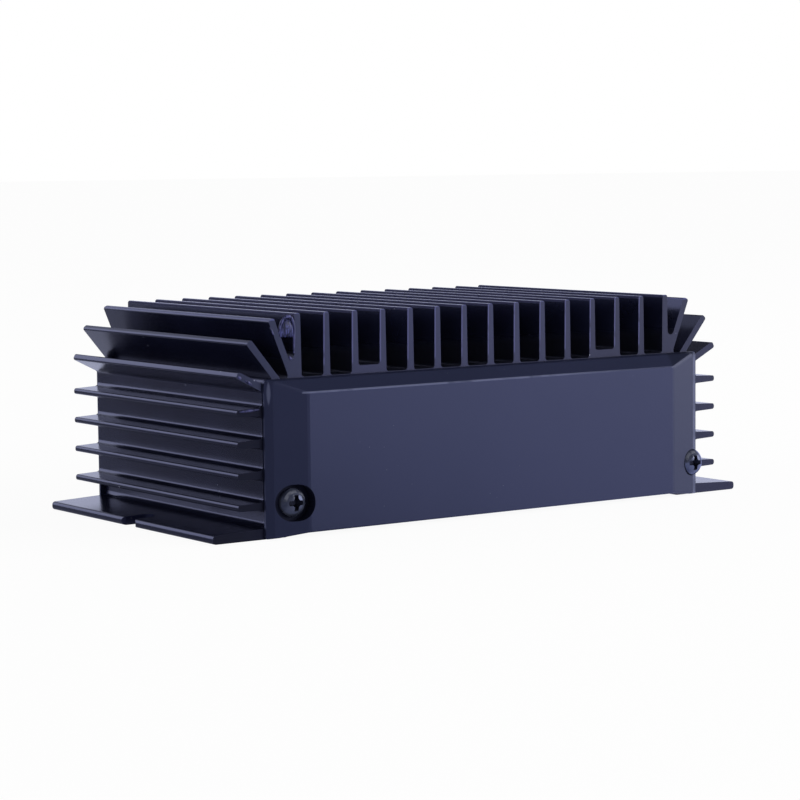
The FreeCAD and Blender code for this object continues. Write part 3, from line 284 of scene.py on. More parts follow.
# painted covers
coverLook = {
    "paint": shade(45, 49, 76), "paintDeep": shade(41, 46, 71), "mottle": (0.25, 0.8),
    "tint": (0.5, 0.55, 1.0, 1.0), "rough": 0.36, "cloudRough": 0.07, "fineRough": 0.05,
    "depth": 0.000010, "fineHeight": 0.35,
    "cloudGrain": (30, 4, 0.55), "peelGrain": (1500, 2), "fineGrain": (5200, 1),
    # painted shade on the right bevel
    "bevel": shade(33, 37, 58), "bevelX": (0.0481, 0.0491),
    "dust": shade(118, 122, 142), "dustShare": 0.6, "dustCells": 650, "dustSize": (0.04, 0.07),
    "dustGrain": (90, 1), "dustPatch": (0.60, 0.66),
    # painted highlight along the top edge of the face, fading to the right
    "edge": shade(98, 103, 132), "highlightZ": (0.02955, 0.00015, 0.0001), "highlightY": (0.0374, 0.0375),
    "highlightX": (0.005, 0.045), "highlightGrain": (200, 2), "highlightPatch": (0.2, 0.5),
    # a glossy bead of paint on the upper part of the left lip, widest in the middle and painted paler as a
    # highlight, and a painted highlight on the right lip
    "lipY": (0.0347, 0.0348), "lipX": (0.0568, 0.0003, 0.0003), "lipHighlightShare": 0.55,
    "beadX": -0.0568, "beadZ": 0.0297, "beadTall": 0.0028, "beadCurve": 0.0005, "beadWide": (0.0002, 0.0005),
    "beadEnds": (0.9, 1.0), "beadHighlightShare": 0.8, "beadGloss": 0.14,
    # painted shade in the screw pockets, which are also rougher; each pocket as x, z, radius and how far it
    # is drawn out along x
    "pocketShade": shade(7, 9, 20), "pocketShadeShare": 0.9, "pocketRough": 0.3, "pocketEdge": (0.99, 1.02),
    "pockets": [(-0.0516, 0.0072, 0.00375, 0.0005), (0.0558, 0.00735, 0.003, 0.0001)],
}


def coverPaint():
    look = coverLook
    f = newFinish("coverPaint")
    x, y, z = f.axes()
    cloud, peel, fine = (f.grain(*look[name + "Grain"]) for name in ("cloud", "peel", "fine"))
    colour = f.blend(cloud.over(*look["mottle"]), look["paintDeep"], look["paint"])
    # painted shade on the right bevel
    colour = f.blend(x.over(*look["bevelX"]), colour, look["bevel"])
    dust = f.cells(look["dustCells"]).under(*look["dustSize"])
    dust = dust * f.grain(*look["dustGrain"]).over(*look["dustPatch"])
    colour = f.blend(dust * look["dustShare"], colour, look["dust"])
    # painted highlight along the top edge of the face
    paintedEdgeHighlight = z.within(*look["highlightZ"]) * abs(y).over(*look["highlightY"]) * x.under(*look["highlightX"])
    paintedEdgeHighlight = paintedEdgeHighlight * f.grain(*look["highlightGrain"]).over(*look["highlightPatch"])
    onLips = abs(y).over(*look["lipY"])
    tall = abs(z - look["beadZ"]) * (1 / look["beadTall"])
    glossyBeadHighlight = (abs(x - look["beadX"]) + look["beadCurve"] * tall * tall).under(*look["beadWide"])
    glossyBeadHighlight = glossyBeadHighlight * tall.under(*look["beadEnds"]) * onLips
    lipHighlight = x.within(*look["lipX"]) * onLips
    # painted highlights on the top edge of the face, the bead on the left lip and the right lip
    pale = paintedEdgeHighlight.largest(glossyBeadHighlight * look["beadHighlightShare"]).largest(lipHighlight * look["lipHighlightShare"])
    colour = f.blend(pale, colour, look["edge"])
    # painted shade in the screw pockets
    pockets = []
    for pocketX, pocketZ, radius, stretch in look["pockets"]:
        dx = (abs(x - pocketX) - stretch).largest(0.0)
        dz = z - pocketZ
        pockets.append((dx * dx + dz * dz).under(*((radius * share) ** 2 for share in look["pocketEdge"])))
    pocketShade = largestOf(pockets)
    colour = f.blend(look["pocketShadeShare"] * pocketShade, colour, look["pocketShade"])
    rough = look["rough"] + look["cloudRough"] * (cloud - 0.5) + look["fineRough"] * (fine - 0.5)
    rough = rough - look["beadGloss"] * glossyBeadHighlight + look["pocketRough"] * pocketShade
    height = peel + look["fineHeight"] * fine
    return f.surface(colour, rough, 0.0, f.bump(height, look["depth"]), Specular_Tint=look["tint"])


# painted bottom plate, scuffed along its length
plateLook = {
    "paint": shade(33, 36, 53), "rough": 0.45, "cloudRough": 0.1, "depth": 0.000012,
    "cloudGrain": (40, 4), "peelGrain": (1500, 2),
    "scuff": shade(92, 94, 110), "scuffShare": 0.5, "scuffRough": 0.12, "scuffDepth": 0.5,
    "scuffGrain": (1, 2, 0.5, (25, 1400, 25), 0.4), "scuffLines": (0.70, 0.78),
    "patchGrain": (45, 2), "scuffPatch": (0.5, 0.62),
}


def platePaint():
    look = plateLook
    f = newFinish("platePaint")
    cloud = f.grain(*look["cloudGrain"])
    scuffs = f.grain(*look["scuffGrain"]).over(*look["scuffLines"])
    scuffs = scuffs * f.grain(*look["patchGrain"]).over(*look["scuffPatch"])
    paint = f.blend(cloud, look["paint"], coverLook["paintDeep"])
    colour = f.blend(look["scuffShare"] * scuffs, paint, look["scuff"])
    rough = look["rough"] + look["cloudRough"] * (cloud - 0.5) + look["scuffRough"] * scuffs
    height = f.grain(*look["peelGrain"]) - look["scuffDepth"] * scuffs
    return f.surface(colour, rough, 0.0, f.bump(height, look["depth"]), Specular_Tint=coverLook["tint"])


# cross-recess screws of the covers
coverScrewLook = {
    "bright": shade(104, 110, 134), "dull": shade(66, 72, 94), "mottle": (0.25, 0.75),
    "metal": 0.45, "rough": 0.24, "cloudRough": 0.12, "depth": 0.000015,
    "cloudGrain": (420, 3), "pitGrain": (900, 3),
    # recess, painted with shade: how far its arms reach, half their width, the radius of its core, and where
    # each is fully dark
    "recess": shade(10, 12, 22), "recessShare": 0.94, "recessRough": 0.3,
    "reach": 0.0018, "reachDeep": 0.92, "arm": 0.00051, "core": 0.00095, "deep": 0.96,
    # painted highlights along the upper rim and beside the upper arm of the cross
    "glint": shade(168, 172, 190), "glintShare": 0.8, "glintGrain": (900, 2), "glintPatch": (0.3, 0.55),
    "rim": (0.00235, 0.00016, 0.0002), "rimZ": (0.0001, 0.0012),
    "besideArm": (-0.0001, 0.00008, 0.00008), "besideZ": (0.00115, 0.0004, 0.0003),
}


def coverScrewFinish():
    # blackened steel, with painted shade in the cross recess, which is also rougher and not metallic
    look = coverScrewLook
    f = newFinish("coverScrewSteel")
    x, z = f.axes()[::2]
    cloud = f.grain(*look["cloudGrain"])
    deepArm = look["arm"] * look["deep"]
    recesses, glints = [], []
    for screwX, screwZ, _, _ in coverLook["pockets"]:
        dx, dz = x - screwX, z - screwZ
        square = dx * dx + dz * dz
        reach = square.under((look["reach"] * look["reachDeep"]) ** 2, look["reach"] ** 2)
        core = square.under((look["core"] * look["deep"]) ** 2, look["core"] ** 2)
        arms = abs(dx).under(deepArm, look["arm"]).largest(abs(dz).under(deepArm, look["arm"]))
        recesses.append(arms.largest(core) * reach)
        rim = (square ** 0.5).within(*look["rim"]) * dz.over(*look["rimZ"])
        side = (dx + look["arm"]).within(*look["besideArm"]) * dz.within(*look["besideZ"])
        glints.append(rim.largest(side))
    recess, glint = largestOf(recesses), largestOf(glints)
    colour = f.blend(cloud.over(*look["mottle"]), look["dull"], look["bright"])
    # painted highlights on the rim and beside the arm
    paintedGlint = look["glintShare"] * glint * f.grain(*look["glintGrain"]).over(*look["glintPatch"])
    colour = f.blend(paintedGlint, colour, look["glint"])
    # painted shade in the cross recess
    colour = f.blend(look["recessShare"] * recess, colour, look["recess"])
    rough = look["rough"] + look["cloudRough"] * (cloud - 0.5) + look["recessRough"] * recess
    pits = f.bump(f.grain(*look["pitGrain"]), look["depth"])
    return f.surface(colour, rough, look["metal"] * (1 - recess), pits, Specular_Tint=coverLook["tint"])


metalWear = {
    "tarnishGrain": (600, 3), "tarnish": (0.3, 0.8), "tarnishShare": 0.45, "tarnishRough": 0.06,
    "markDetail": (3, 0.6), "markShare": 0.2, "markRough": 0.1,
}

metalLooks = {
    # bright and dull colour, roughness, how far the fine marks are drawn out on each axis, and their depth
    "screwSteel": (shade(132, 134, 148), shade(66, 68, 82), 0.26, (1500, 1500, 1500), 0.000006),
    "nickelPlate": (shade(214, 212, 206), shade(172, 170, 165), 0.22, (300, 2600, 300), 0.000005),
    "brassTurned": (shade(222, 190, 120), shade(176, 142, 84), 0.28, (350, 2200, 350), 0.000006),
    "relayIron": (shade(168, 168, 170), shade(110, 108, 108), 0.38, (200, 1800, 1800), 0.000008),
    "springBronze": (shade(206, 160, 108), shade(160, 112, 72), 0.30, (200, 2400, 2400), 0.000004),
    "tinnedTag": (shade(206, 207, 208), shade(160, 161, 163), 0.34, (900, 900, 300), 0.000008),
}


def metalFinish(name, bright, dull, rough, stretch, depth):
    # plated or turned metal
    look = metalWear
    f = newFinish(name)
    marks = f.grain(1, *look["markDetail"], stretch)
    tarnish = f.grain(*look["tarnishGrain"]).over(*look["tarnish"])
    colour = f.blend(look["tarnishShare"] * tarnish + look["markShare"] * marks, bright, dull)
    rough = rough + look["tarnishRough"] * tarnish + look["markRough"] * (marks - 0.5)
    return f.surface(colour, rough, 1.0, f.bump(marks, depth))


mouldedWear = {
    "cloudGrain": (120, 3), "mottle": (0.25, 0.8), "cloudRough": 0.10, "pebbleDetail": 2, "pebbleRough": 0.08,
}

mouldedLooks = {
    # two colours, roughness, and the depth and scale of the fine pebble
    "socketPlastic": (shade(226, 222, 208), shade(206, 200, 184), 0.38, 0.000008, 1200),
    "packagePlastic": (shade(38, 38, 40), shade(28, 28, 30), 0.55, 0.000012, 3200),
    "thermalPad": (shade(176, 178, 176), shade(158, 160, 158), 0.62, 0.000010, 2400),
    "relayPlastic": (shade(40, 62, 112), shade(32, 50, 96), 0.30, 0.000006, 1500),
    "bobbinPlastic": (shade(196, 190, 176), shade(178, 172, 158), 0.40, 0.000008, 1400),
    "ceramicCoat": (shade(196, 128, 62), shade(174, 106, 48), 0.42, 0.000020, 700),
    "wireSleeve": (shade(226, 226, 222), shade(206, 206, 202), 0.42, 0.000008, 1000),
    "grommetRubber": (shade(26, 26, 28), shade(36, 36, 38), 0.66, 0.000016, 1600),
}


def mouldedFinish(name, main, other, rough, depth, scale):
    # moulded or dipped surface with soft mottling
    look = mouldedWear
    f = newFinish(name)
    cloud = f.grain(*look["cloudGrain"])
    pebble = f.grain(scale, look["pebbleDetail"])
    colour = f.blend(cloud.over(*look["mottle"]), main, other)
    rough = rough + look["cloudRough"] * (cloud - 0.5) + look["pebbleRough"] * (pebble - 0.5)
    return f.surface(colour, rough, 0.0, f.bump(pebble, depth))


boardLook = {
    "mask": shade(22, 74, 46), "maskPale": shade(30, 88, 56), "track": shade(52, 116, 72),
    "weaveCount": 650, "weaveRough": 0.1, "weaveHeight": 0.15, "rough": 0.34, "depth": 0.00003,
    "trackCells": 160, "trackEdge": (0.05, 0.09), "trackGrain": (50, 1), "trackPatch": (0.45, 0.5),
    "upperFace": (0.0234, 0.02345), "lowerFace": (0.02195, 0.022), "faceGloss": 0.05,
}


def laminateFinish():
    # green board with a faint weave, and tracks that show paler through the mask
    look = boardLook
    f = newFinish("boardLaminate")
    x, y, z = f.axes()
    weave = x.wave(look["weaveCount"]) * y.wave(look["weaveCount"])
    tracks = f.cells(look["trackCells"], "DISTANCE_TO_EDGE").under(*look["trackEdge"])
    tracks = tracks * f.grain(*look["trackGrain"]).over(*look["trackPatch"])
    colour = f.blend(weave, look["mask"], look["maskPale"])
    colour = f.blend(tracks, colour, look["track"])
    faces = z.over(*look["upperFace"]) + z.under(*look["lowerFace"])
    rough = look["rough"] + look["weaveRough"] * weave - look["faceGloss"] * faces
    return f.surface(colour, rough, 0.0, f.bump(tracks + look["weaveHeight"] * weave, look["depth"]))


ferriteLook = {
    "dark": shade(44, 43, 44), "pale": shade(68, 67, 68), "rough": 0.62, "gritRough": 0.16, "depth": 0.00003,
    "gritGrain": (1800, 4, 0.65), "pitCells": 700, "pitSize": (0.12, 0.2), "pitGrain": (200, 2),
    "pitPatch": (0.5, 0.6),
}


def ferriteFinish():
    look = ferriteLook
    f = newFinish("ferrite")
    grit = f.grain(*look["gritGrain"])
    pits = f.cells(look["pitCells"]).under(*look["pitSize"])
    pits = pits * f.grain(*look["pitGrain"]).over(*look["pitPatch"])
    colour = f.blend(grit, look["dark"], look["pale"])
    rough = look["rough"] + look["gritRough"] * (grit - 0.5)
    return f.surface(colour, rough, 0.0, f.bump(grit - pits, look["depth"]))


copperLook = {
    "thin": shade(196, 98, 52), "thick": shade(150, 66, 34), "metal": 0.85, "rough": 0.22,
    "enamelRough": 0.12, "enamelGrain": (500, 3), "fineGrain": (2600, 2), "depth": 0.000005,
    "coat": 0.6, "coatRough": 0.12,
}


def copperFinish():
    # enamelled copper wire, darker where the enamel is thick
    look = copperLook
    f = newFinish("copperWire")
    enamel = f.grain(*look["enamelGrain"])
    colour = f.blend(enamel, look["thin"], look["thick"])
    rough = look["rough"] + look["enamelRough"] * enamel
    return f.surface(colour, rough, look["metal"], f.bump(f.grain(*look["fineGrain"]), look["depth"]),
                     Coat_Weight=look["coat"], Coat_Roughness=look["coatRough"])


canLook = {
    "sleeve": shade(28, 44, 92), "sleeveDeep": shade(22, 36, 80), "stripe": shade(196, 200, 206),
    "dash": shade(30, 44, 90), "end": shade(188, 190, 192), "endMetal": 0.9,
    # measured from the can's lowest corner
    "stripeY": (0.0011, 0.0013), "endZ": (0.0002, 0.0004), "dashCount": 260, "dashEdge": (0.45, 0.55),
    "sleeveGrain": (300, 3), "roughGrain": (700, 2), "creaseGrain": (260, 3),
    "rough": 0.28, "grainRough": 0.1, "depth": 0.00004,
}


def canSleeveFinish():
    # shrunk sleeve with a pale polarity stripe, bare aluminium at the can's end
    look = canLook
    f = newFinish("canSleeve")
    y, z = f.axes()[1:]
    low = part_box("electrolytic_capacitor")[0]
    stripe = y.under(*(low.y + edge for edge in look["stripeY"]))
    end = z.under(*(low.z + edge for edge in look["endZ"]))
    dash = stripe * z.wave(look["dashCount"]).over(*look["dashEdge"])
    colour = f.blend(f.grain(*look["sleeveGrain"]), look["sleeve"], look["sleeveDeep"])
    for mask, paint in ((stripe, "stripe"), (dash, "dash"), (end, "end")):
        colour = f.blend(mask, colour, look[paint])
    rough = look["rough"] + look["grainRough"] * f.grain(*look["roughGrain"])
    creases = f.bump(f.grain(*look["creaseGrain"]), look["depth"])
    return f.surface(colour, rough, look["endMetal"] * end, creases)


axialWear = {
    "lead": shade(200, 200, 202), "across": (0.0021, 0.0022), "coatSoft": 0.00005,
    "bandWide": (0.0003, 0.00036), "bandReach": (0.0005, 0.0006), "rough": 0.36, "grainRough": 0.1,
    "coatGrain": (900, 2), "roughGrain": (800, 2), "fineGrain": (1500, 2), "depth": 0.00001,
}

axialLooks = {
    # middle of each part, half its length, its coat, and its bands as distance from the middle and colour
    "resistorCoat": {
        "places": [(-0.00598, -0.02401), (-0.00598, -0.01949), (0.00598, -0.02601), (-0.0402, -0.02701),
                   (-0.0402, -0.02249), (-0.01601, -0.004)],
        "half": 0.0032, "coat": (shade(196, 170, 124), shade(184, 156, 110)),
        "bands": [(-0.002, shade(128, 70, 36)), (-0.0008, shade(24, 22, 22)), (0.0004, shade(190, 54, 38)),
                  (0.002, shade(186, 148, 60))],
    },
    "diodePlastic": {
        "places": [(-0.01601, 0.00048), (-0.01601, -0.009)],
        "half": 0.0025, "coat": (shade(30, 30, 32), shade(38, 38, 40)),
        "bands": [(0.0016, shade(206, 206, 206))],
    },
}


def bandedFinish(name, look):
    # axial parts along X, with bands of colour round the coat and tinned leads outside it
    wear = axialWear
    half = look["half"]
    f = newFinish(name)
    x, y = f.axes()[:2]
    colour = f.blend(f.grain(*wear["coatGrain"]), *look["coat"])
    coats = []
    for middleX, middleY in look["places"]:
        across = abs(y - middleY).under(*wear["across"])
        near = abs(x - middleX).under(*(half + past for past in wear["bandReach"])) * across
        for offset, band in look["bands"]:
            ring = abs(x - (middleX + offset)).under(*wear["bandWide"]) * near
            colour = f.blend(ring, colour, band)
        coats.append(abs(x - middleX).under(half, half + wear["coatSoft"]) * across)
    lead = 1 - largestOf(coats)
    colour = f.blend(lead, colour, wear["lead"])
    rough = wear["rough"] + wear["grainRough"] * f.grain(*wear["roughGrain"])
    return f.surface(colour, rough, lead, f.bump(f.grain(*wear["fineGrain"]), wear["depth"]))


pooledWear = {
    "streakGrain": (1, 3, 0.6, (2600, 2600, 700), 0.6), "streaks": (0.4, 0.7),
    "roughGrain": (800, 2), "grainRough": 0.1, "depth": 0.00006,
}

pooledLooks = {
    # colour between and on the streaks, and roughness; the pale colour on the streaks is painted highlight,
    # and the film's near-black between them is painted shade
    "pooledPaint": (shade(26, 28, 58), shade(100, 102, 158), 0.24),
    "filmPaint": (shade(4, 5, 14), shade(84, 88, 150), 0.3),
}


def pooledPaint(name, low, high, rough):
    # thick glossy paint, streaked along its runs, with the pale streaks as painted highlight
    look = pooledWear
    f = newFinish(name)
    streaks = f.grain(*look["streakGrain"])
    colour = f.blend(streaks.over(*look["streaks"]), low, high)
    rough = rough + look["grainRough"] * f.grain(*look["roughGrain"])
    return f.surface(colour, rough, 0.0, f.bump(streaks, look["depth"]), Specular_Tint=housingLook["tint"])


def makeFinishes():
    made = {
        "housingPaint": housingPaint(), "coverPaint": coverPaint(), "platePaint": platePaint(),
        "boardLaminate": laminateFinish(), "ferrite": ferriteFinish(), "copperWire": copperFinish(),
        "canSleeve": canSleeveFinish(), "coverScrewSteel": coverScrewFinish(),
    }
    for name, look in axialLooks.items():
        made[name] = bandedFinish(name, look)
    groups = ((pooledLooks, pooledPaint), (metalLooks, metalFinish), (mouldedLooks, mouldedFinish))
    for looks, makeOne in groups:
        for name, look in looks.items():
            made[name] = makeOne(name, *look)
    return made


finishes = makeFinishes()
print("finishes made:", len(finishes))

nodeFinish = {
    "heatsink_housing": "housingPaint", "front_cover": "coverPaint", "rear_cover": "coverPaint",
    "bottom_plate": "platePaint", "circuit_board": "boardLaminate", "electrolytic_capacitor": "canSleeve",
    "resistors": "resistorCoat", "bias_diodes": "diodePlastic", "ceramic_capacitors": "ceramicCoat",
    "keying_transistor": "packagePlastic", "power_terminals": "tinnedTag", "socket_nuts": "nickelPlate",
    "power_grommet": "grommetRubber", "board_standoffs": "brassTurned", "relay_base": "bobbinPlastic",
    "relay_yoke": "relayIron", "relay_bobbin": "bobbinPlastic", "relay_winding": "copperWire",
    "relay_armature": "relayIron", "relay_blade": "springBronze", "relay_fixed_contacts": "springBronze",
    "relay_case": "relayPlastic", "choke_core": "ferrite", "choke_winding": "copperWire",
    "input_transformer_core": "ferrite", "output_transformer_core": "ferrite",
    "input_transformer_winding": "wireSleeve", "output_transformer_winding": "wireSleeve",
}
for name in nodes:
    if name in ("front_cover_screws", "rear_cover_screws"):
        nodeFinish[name] = "coverScrewSteel"
    elif name.endswith("_screws"):
        nodeFinish[name] = "screwSteel"
    elif name.startswith("rf_transistor"):
        nodeFinish[name] = "packagePlastic"
    elif name.startswith("transistor_insulator"):
        nodeFinish[name] = "thermalPad"
    elif name.startswith("filter_coil"):
        nodeFinish[name] = "copperWire"
    elif name.endswith("_socket_shell"):
        nodeFinish[name] = "nickelPlate"
    elif name.endswith("_socket_insulator"):
        nodeFinish[name] = "socketPlastic"
    elif name.endswith("_socket_contact"):
        nodeFinish[name] = "brassTurned"
    elif name.endswith("_socket_wire"):
        nodeFinish[name] = "wireSleeve"
for name, item in nodes.items():
    item.data.materials.clear()
    item.data.materials.append(finishes[nodeFinish[name]])
print("finishes on the nodes")


def newPiece(form, name, finish):
    bmesh.ops.recalc_face_normals(form, faces=form.faces)
    mesh = bpy.data.meshes.new(name)
    form.to_mesh(mesh)
    form.free()
    for face in mesh.polygons:
        face.use_smooth = True
    mesh.materials.append(finishes[finish])
    piece = bpy.data.objects.new(name, mesh)
    bpy.context.scene.collection.objects.link(piece)
    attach(piece, "amplifier")
    return piece


# paint that ran and pooled at the left front end of the housing, in millimetres
runLook = {
    "frontY": -34.5, "sides": 10, "steps": 6, "proud": 0.7,
    # each run: points as (x, z), and the bead's radius at its ends and middle
    "runs": [
        ([(-53.5, 41.5), (-53.1, 43.1), (-52.3, 44.5), (-51.4, 44.95), (-50.5, 44.6), (-49.95, 43.3),
          (-49.85, 41.6), (-49.9, 39.5), (-50.0, 37.4)], 0.16, 0.34),
        ([(-51.15, 36.9), (-50.7, 36.35), (-50.1, 36.4)], 0.14, 0.3),
        ([(-55.6, 42.9), (-55.1, 42.0), (-54.6, 41.1)], 0.08, 0.22),
        ([(-61.7, 32.5), (-60.9, 32.05), (-60.1, 31.65)], 0.1, 0.3),
        ([(-63.3, 33.4), (-62.9, 33.1), (-62.5, 32.95)], 0.1, 0.28),
        ([(-63.2, 26.24), (-61.6, 26.32), (-60.0, 26.4), (-58.4, 26.46)], 0.08, 0.28),
    ],
}


def addRun(form, points, endRadius, middleRadius):
    # a half-sunk bead through the points, thickest in the middle, closed at both ends
    look = runLook
    along = []
    for i in range(len(points) - 1):
        before, a, b, after = (Vector(points[min(max(i + k, 0), len(points) - 1)]) for k in (-1, 0, 1, 2))
        for step in range(look["steps"]):
            t = step / look["steps"]
            along.append(0.5 * (2 * a + (b - before) * t + (2 * before - 5 * a + 4 * b - after) * t * t
                                + (3 * a - before - 3 * b + after) * t ** 3))
    along.append(Vector(points[-1]))
    rings = []
    for i, spot in enumerate(along):
        ahead = (along[min(i + 1, len(along) - 1)] - along[max(i - 1, 0)]).normalized()
        across = Vector((-ahead.y, ahead.x))
        share = i / (len(along) - 1)
        radius = endRadius + (middleRadius - endRadius) * math.sin(math.pi * share)
        ring = []
        for k in range(look["sides"]):
            angle = 2 * math.pi * k / look["sides"]
            edge = spot + across * radius * math.cos(angle)
            y = look["frontY"] - radius * look["proud"] * math.sin(angle)
            ring.append(form.verts.new(Vector((edge.x, y, edge.y)) / 1000))
        rings.append(ring)
    for first, second in zip(rings, rings[1:]):
        for k in range(look["sides"]):
            after = (k + 1) % look["sides"]
            form.faces.new((first[k], first[after], second[after], second[k]))
    form.faces.new(rings[0][::-1])
    form.faces.new(rings[-1])


def makePaintRuns():
    form = bmesh.new()
    for points, endRadius, middleRadius in runLook["runs"]:
        addRun(form, points, endRadius, middleRadius)
    newPiece(form, "paintRuns", "pooledPaint")


# film of paint across the top of the notch between two fins, in millimetres
webLook = {
    "left": -53.35, "right": -49.85, "low": 41.5, "top": 3.2, "arch": 0.8, "thick": 0.15,
    # how far it bulges out, how high up, and how far back it starts at the top
    "bulge": 0.3, "bulgeHigh": 0.6, "back": 0.35,
    # ragged lower edge: how far it hangs, how much that varies, and how fast
    "hang": 0.7, "ragged": 0.5, "raggedTurn": 3.1, "columns": 16, "rows": 8,
}


def webSheet(form, depth):
    # one side of the film, as columns of points from the arch down to the lower edge
    look = webLook
    middle = (look["left"] + look["right"]) / 2
    half = (look["right"] - look["left"]) / 2
    sheet = []
    for i in range(look["columns"] + 1):
        turn = math.pi * (1 - i / look["columns"])
        archX = middle + half * math.cos(turn)
        archZ = look["low"] + look["top"] * math.sin(turn) ** look["arch"]
        ragged = look["ragged"] * math.sin(look["raggedTurn"] * i) * math.sin(turn)
        lowZ = look["low"] - look["hang"] - ragged
        column = []
        for j in range(look["rows"] + 1):
            share = j / look["rows"]
            out = look["bulge"] * math.sin(math.pi * share ** look["bulgeHigh"]) * math.sin(turn)
            y = runLook["frontY"] + look["back"] * (1 - share) ** 3 - out + depth
            column.append(form.verts.new(Vector((archX, y, archZ + (lowZ - archZ) * share)) / 1000))
        sheet.append(column)
    return sheet


def makePaintWeb():
    columns, rows = webLook["columns"], webLook["rows"]
    form = bmesh.new()
    front, back = (webSheet(form, depth) for depth in (0.0, webLook["thick"]))
    for i in range(columns):
        for j in range(rows):
            form.faces.new((front[i][j], front[i + 1][j], front[i + 1][j + 1], front[i][j + 1]))
            form.faces.new((back[i][j], back[i][j + 1], back[i + 1][j + 1], back[i + 1][j]))
        for j in (0, rows):
            form.faces.new((front[i][j], back[i][j], back[i + 1][j], front[i + 1][j]))
    for j in range(rows):
        for i in (0, columns):
            form.faces.new((front[i][j], front[i][j + 1], back[i][j + 1], back[i][j]))
    newPiece(form, "paintWeb", "filmPaint")


# coax sockets: each shell again, with a real screw thread for the plain wall of its barrel, in millimetres
threadLook = {
    "barrel": 11.0, "chamfer": 0.5, "radius": 7.9, "pitch": 1.058, "depth": 0.45, "runOut": 0.9,
    # rows of points in a pitch, how near the wall a point counts as on it, and a shift that keeps the seam
    "rows": 8, "near": 0.02, "seam": 0.001,
    "weld": 0.000001, "sharp": 40,    # in metres, and in degrees
}


def threadRadius(turn, height, length):
    # a V thread that fades out at both ends
    look = threadLook
    phase = (height / look["pitch"] + turn) % 1
    fade = min(1, height / look["runOut"], (length - height) / look["runOut"])
    return look["radius"] - look["depth"] * (1 - abs(2 * phase - 1)) * max(fade, 0)


def makeThreadedShell(side):
    look = threadLook
    near = look["near"]
    low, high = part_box(side + "_socket_shell")
    middle = (low + high) / 2 * 1000
    start = high.y * 1000 - look["barrel"]
    length = look["barrel"] - look["chamfer"]
    form = bmesh.new()
    form.from_mesh(nodes[side + "_socket_shell"].data)
    bmesh.ops.remove_doubles(form, verts=form.verts, dist=look["weld"])

    def onWall(vert):
        spot = vert.co * 1000
        away = math.hypot(spot.x - middle.x, spot.z - middle.z)
        return abs(away - look["radius"]) < near and -near < spot.y - start < length + near

    wall = [face for face in form.faces if all(onWall(vert) for vert in face.verts)]
    bmesh.ops.delete(form, geom=wall, context="FACES")

    def turnOf(vert):
        turn = math.atan2(vert.co.z * 1000 - middle.z, vert.co.x * 1000 - middle.x) / (2 * math.pi)
        return (turn + look["seam"]) % 1 - look["seam"]

    rings = []
    for y in (start, start + length):
        ring = [vert for vert in form.verts if onWall(vert) and abs(vert.co.y * 1000 - y) < near]
        rings.append(sorted(ring, key=turnOf))
    first, last = rings
    turns = [turnOf(vert) for vert in first]
    count = round(length / look["pitch"] * look["rows"])
    rows = [first]
    for row in range(1, count):
        height = length * row / count
        made = []
        for turn in turns:
            radius = threadRadius(turn, height, length)
            angle = 2 * math.pi * turn
            across, up = radius * math.cos(angle), radius * math.sin(angle)
            made.append(form.verts.new(Vector((middle.x + across, start + height, middle.z + up)) / 1000))
        rows.append(made)
    rows.append(last)
    for below, above in zip(rows, rows[1:]):
        for k in range(len(turns)):
            after = (k + 1) % len(turns)
            form.faces.new((below[k], above[k], above[after], below[after]))
    piece = newPiece(form, side + "ThreadedShell", "nickelPlate")
    piece.data.set_sharp_from_angle(angle=math.radians(look["sharp"]))
    flat = piece.modifiers.new("flatFaces", "WEIGHTED_NORMAL")
    flat.keep_sharp = True
    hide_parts(side + "_socket_shell")
    print(side, "socket thread:", len(first), "points round its foot,", len(last), "round its end")


makePaintRuns()
makePaintWeb()
print("paint runs made")
for side in ("radio", "antenna"):
    makeThreadedShell(side)


# floor, room and lamps
stageLook = {
    "floorSize": 12.0, "floorDrop": 0.0001, "floor": shade(250, 250, 250), "shadowShare": 0.13, "seen": 1.08,
    # what a mirror-like surface sees: colour, and its strength on each part of the floor and sky
    "mirrored": (0.76, 0.80, 1.06, 1.0), "floorDim": 0.21, "floorBright": 1.2,
    "skyDim": 0.05, "skyBehind": 1.25, "skyLeft": 2.1,
    # where the floor turns bright to the right, and how much that line slants, in metres
    "brightFloor": (-0.09, 0.03), "floorSlant": 0.35,
    # parts of the sky, as shares of its direction
    "behind": (-0.05, 0.45), "behindUp": (0.15, 0.62), "left": (-0.2, 0.15), "leftUp": (0.4, 0.8),
    # plain light of the room, from level to straight above
    "fillLow": 0.9, "fillHigh": 0.1, "fillUp": (0.0, 0.9),
}


def scaled(colour, strength):
    return tuple(channel * strength for channel in colour[:3]) + (1.0,)


def grey(strength):
    return scaled((1, 1, 1), strength)


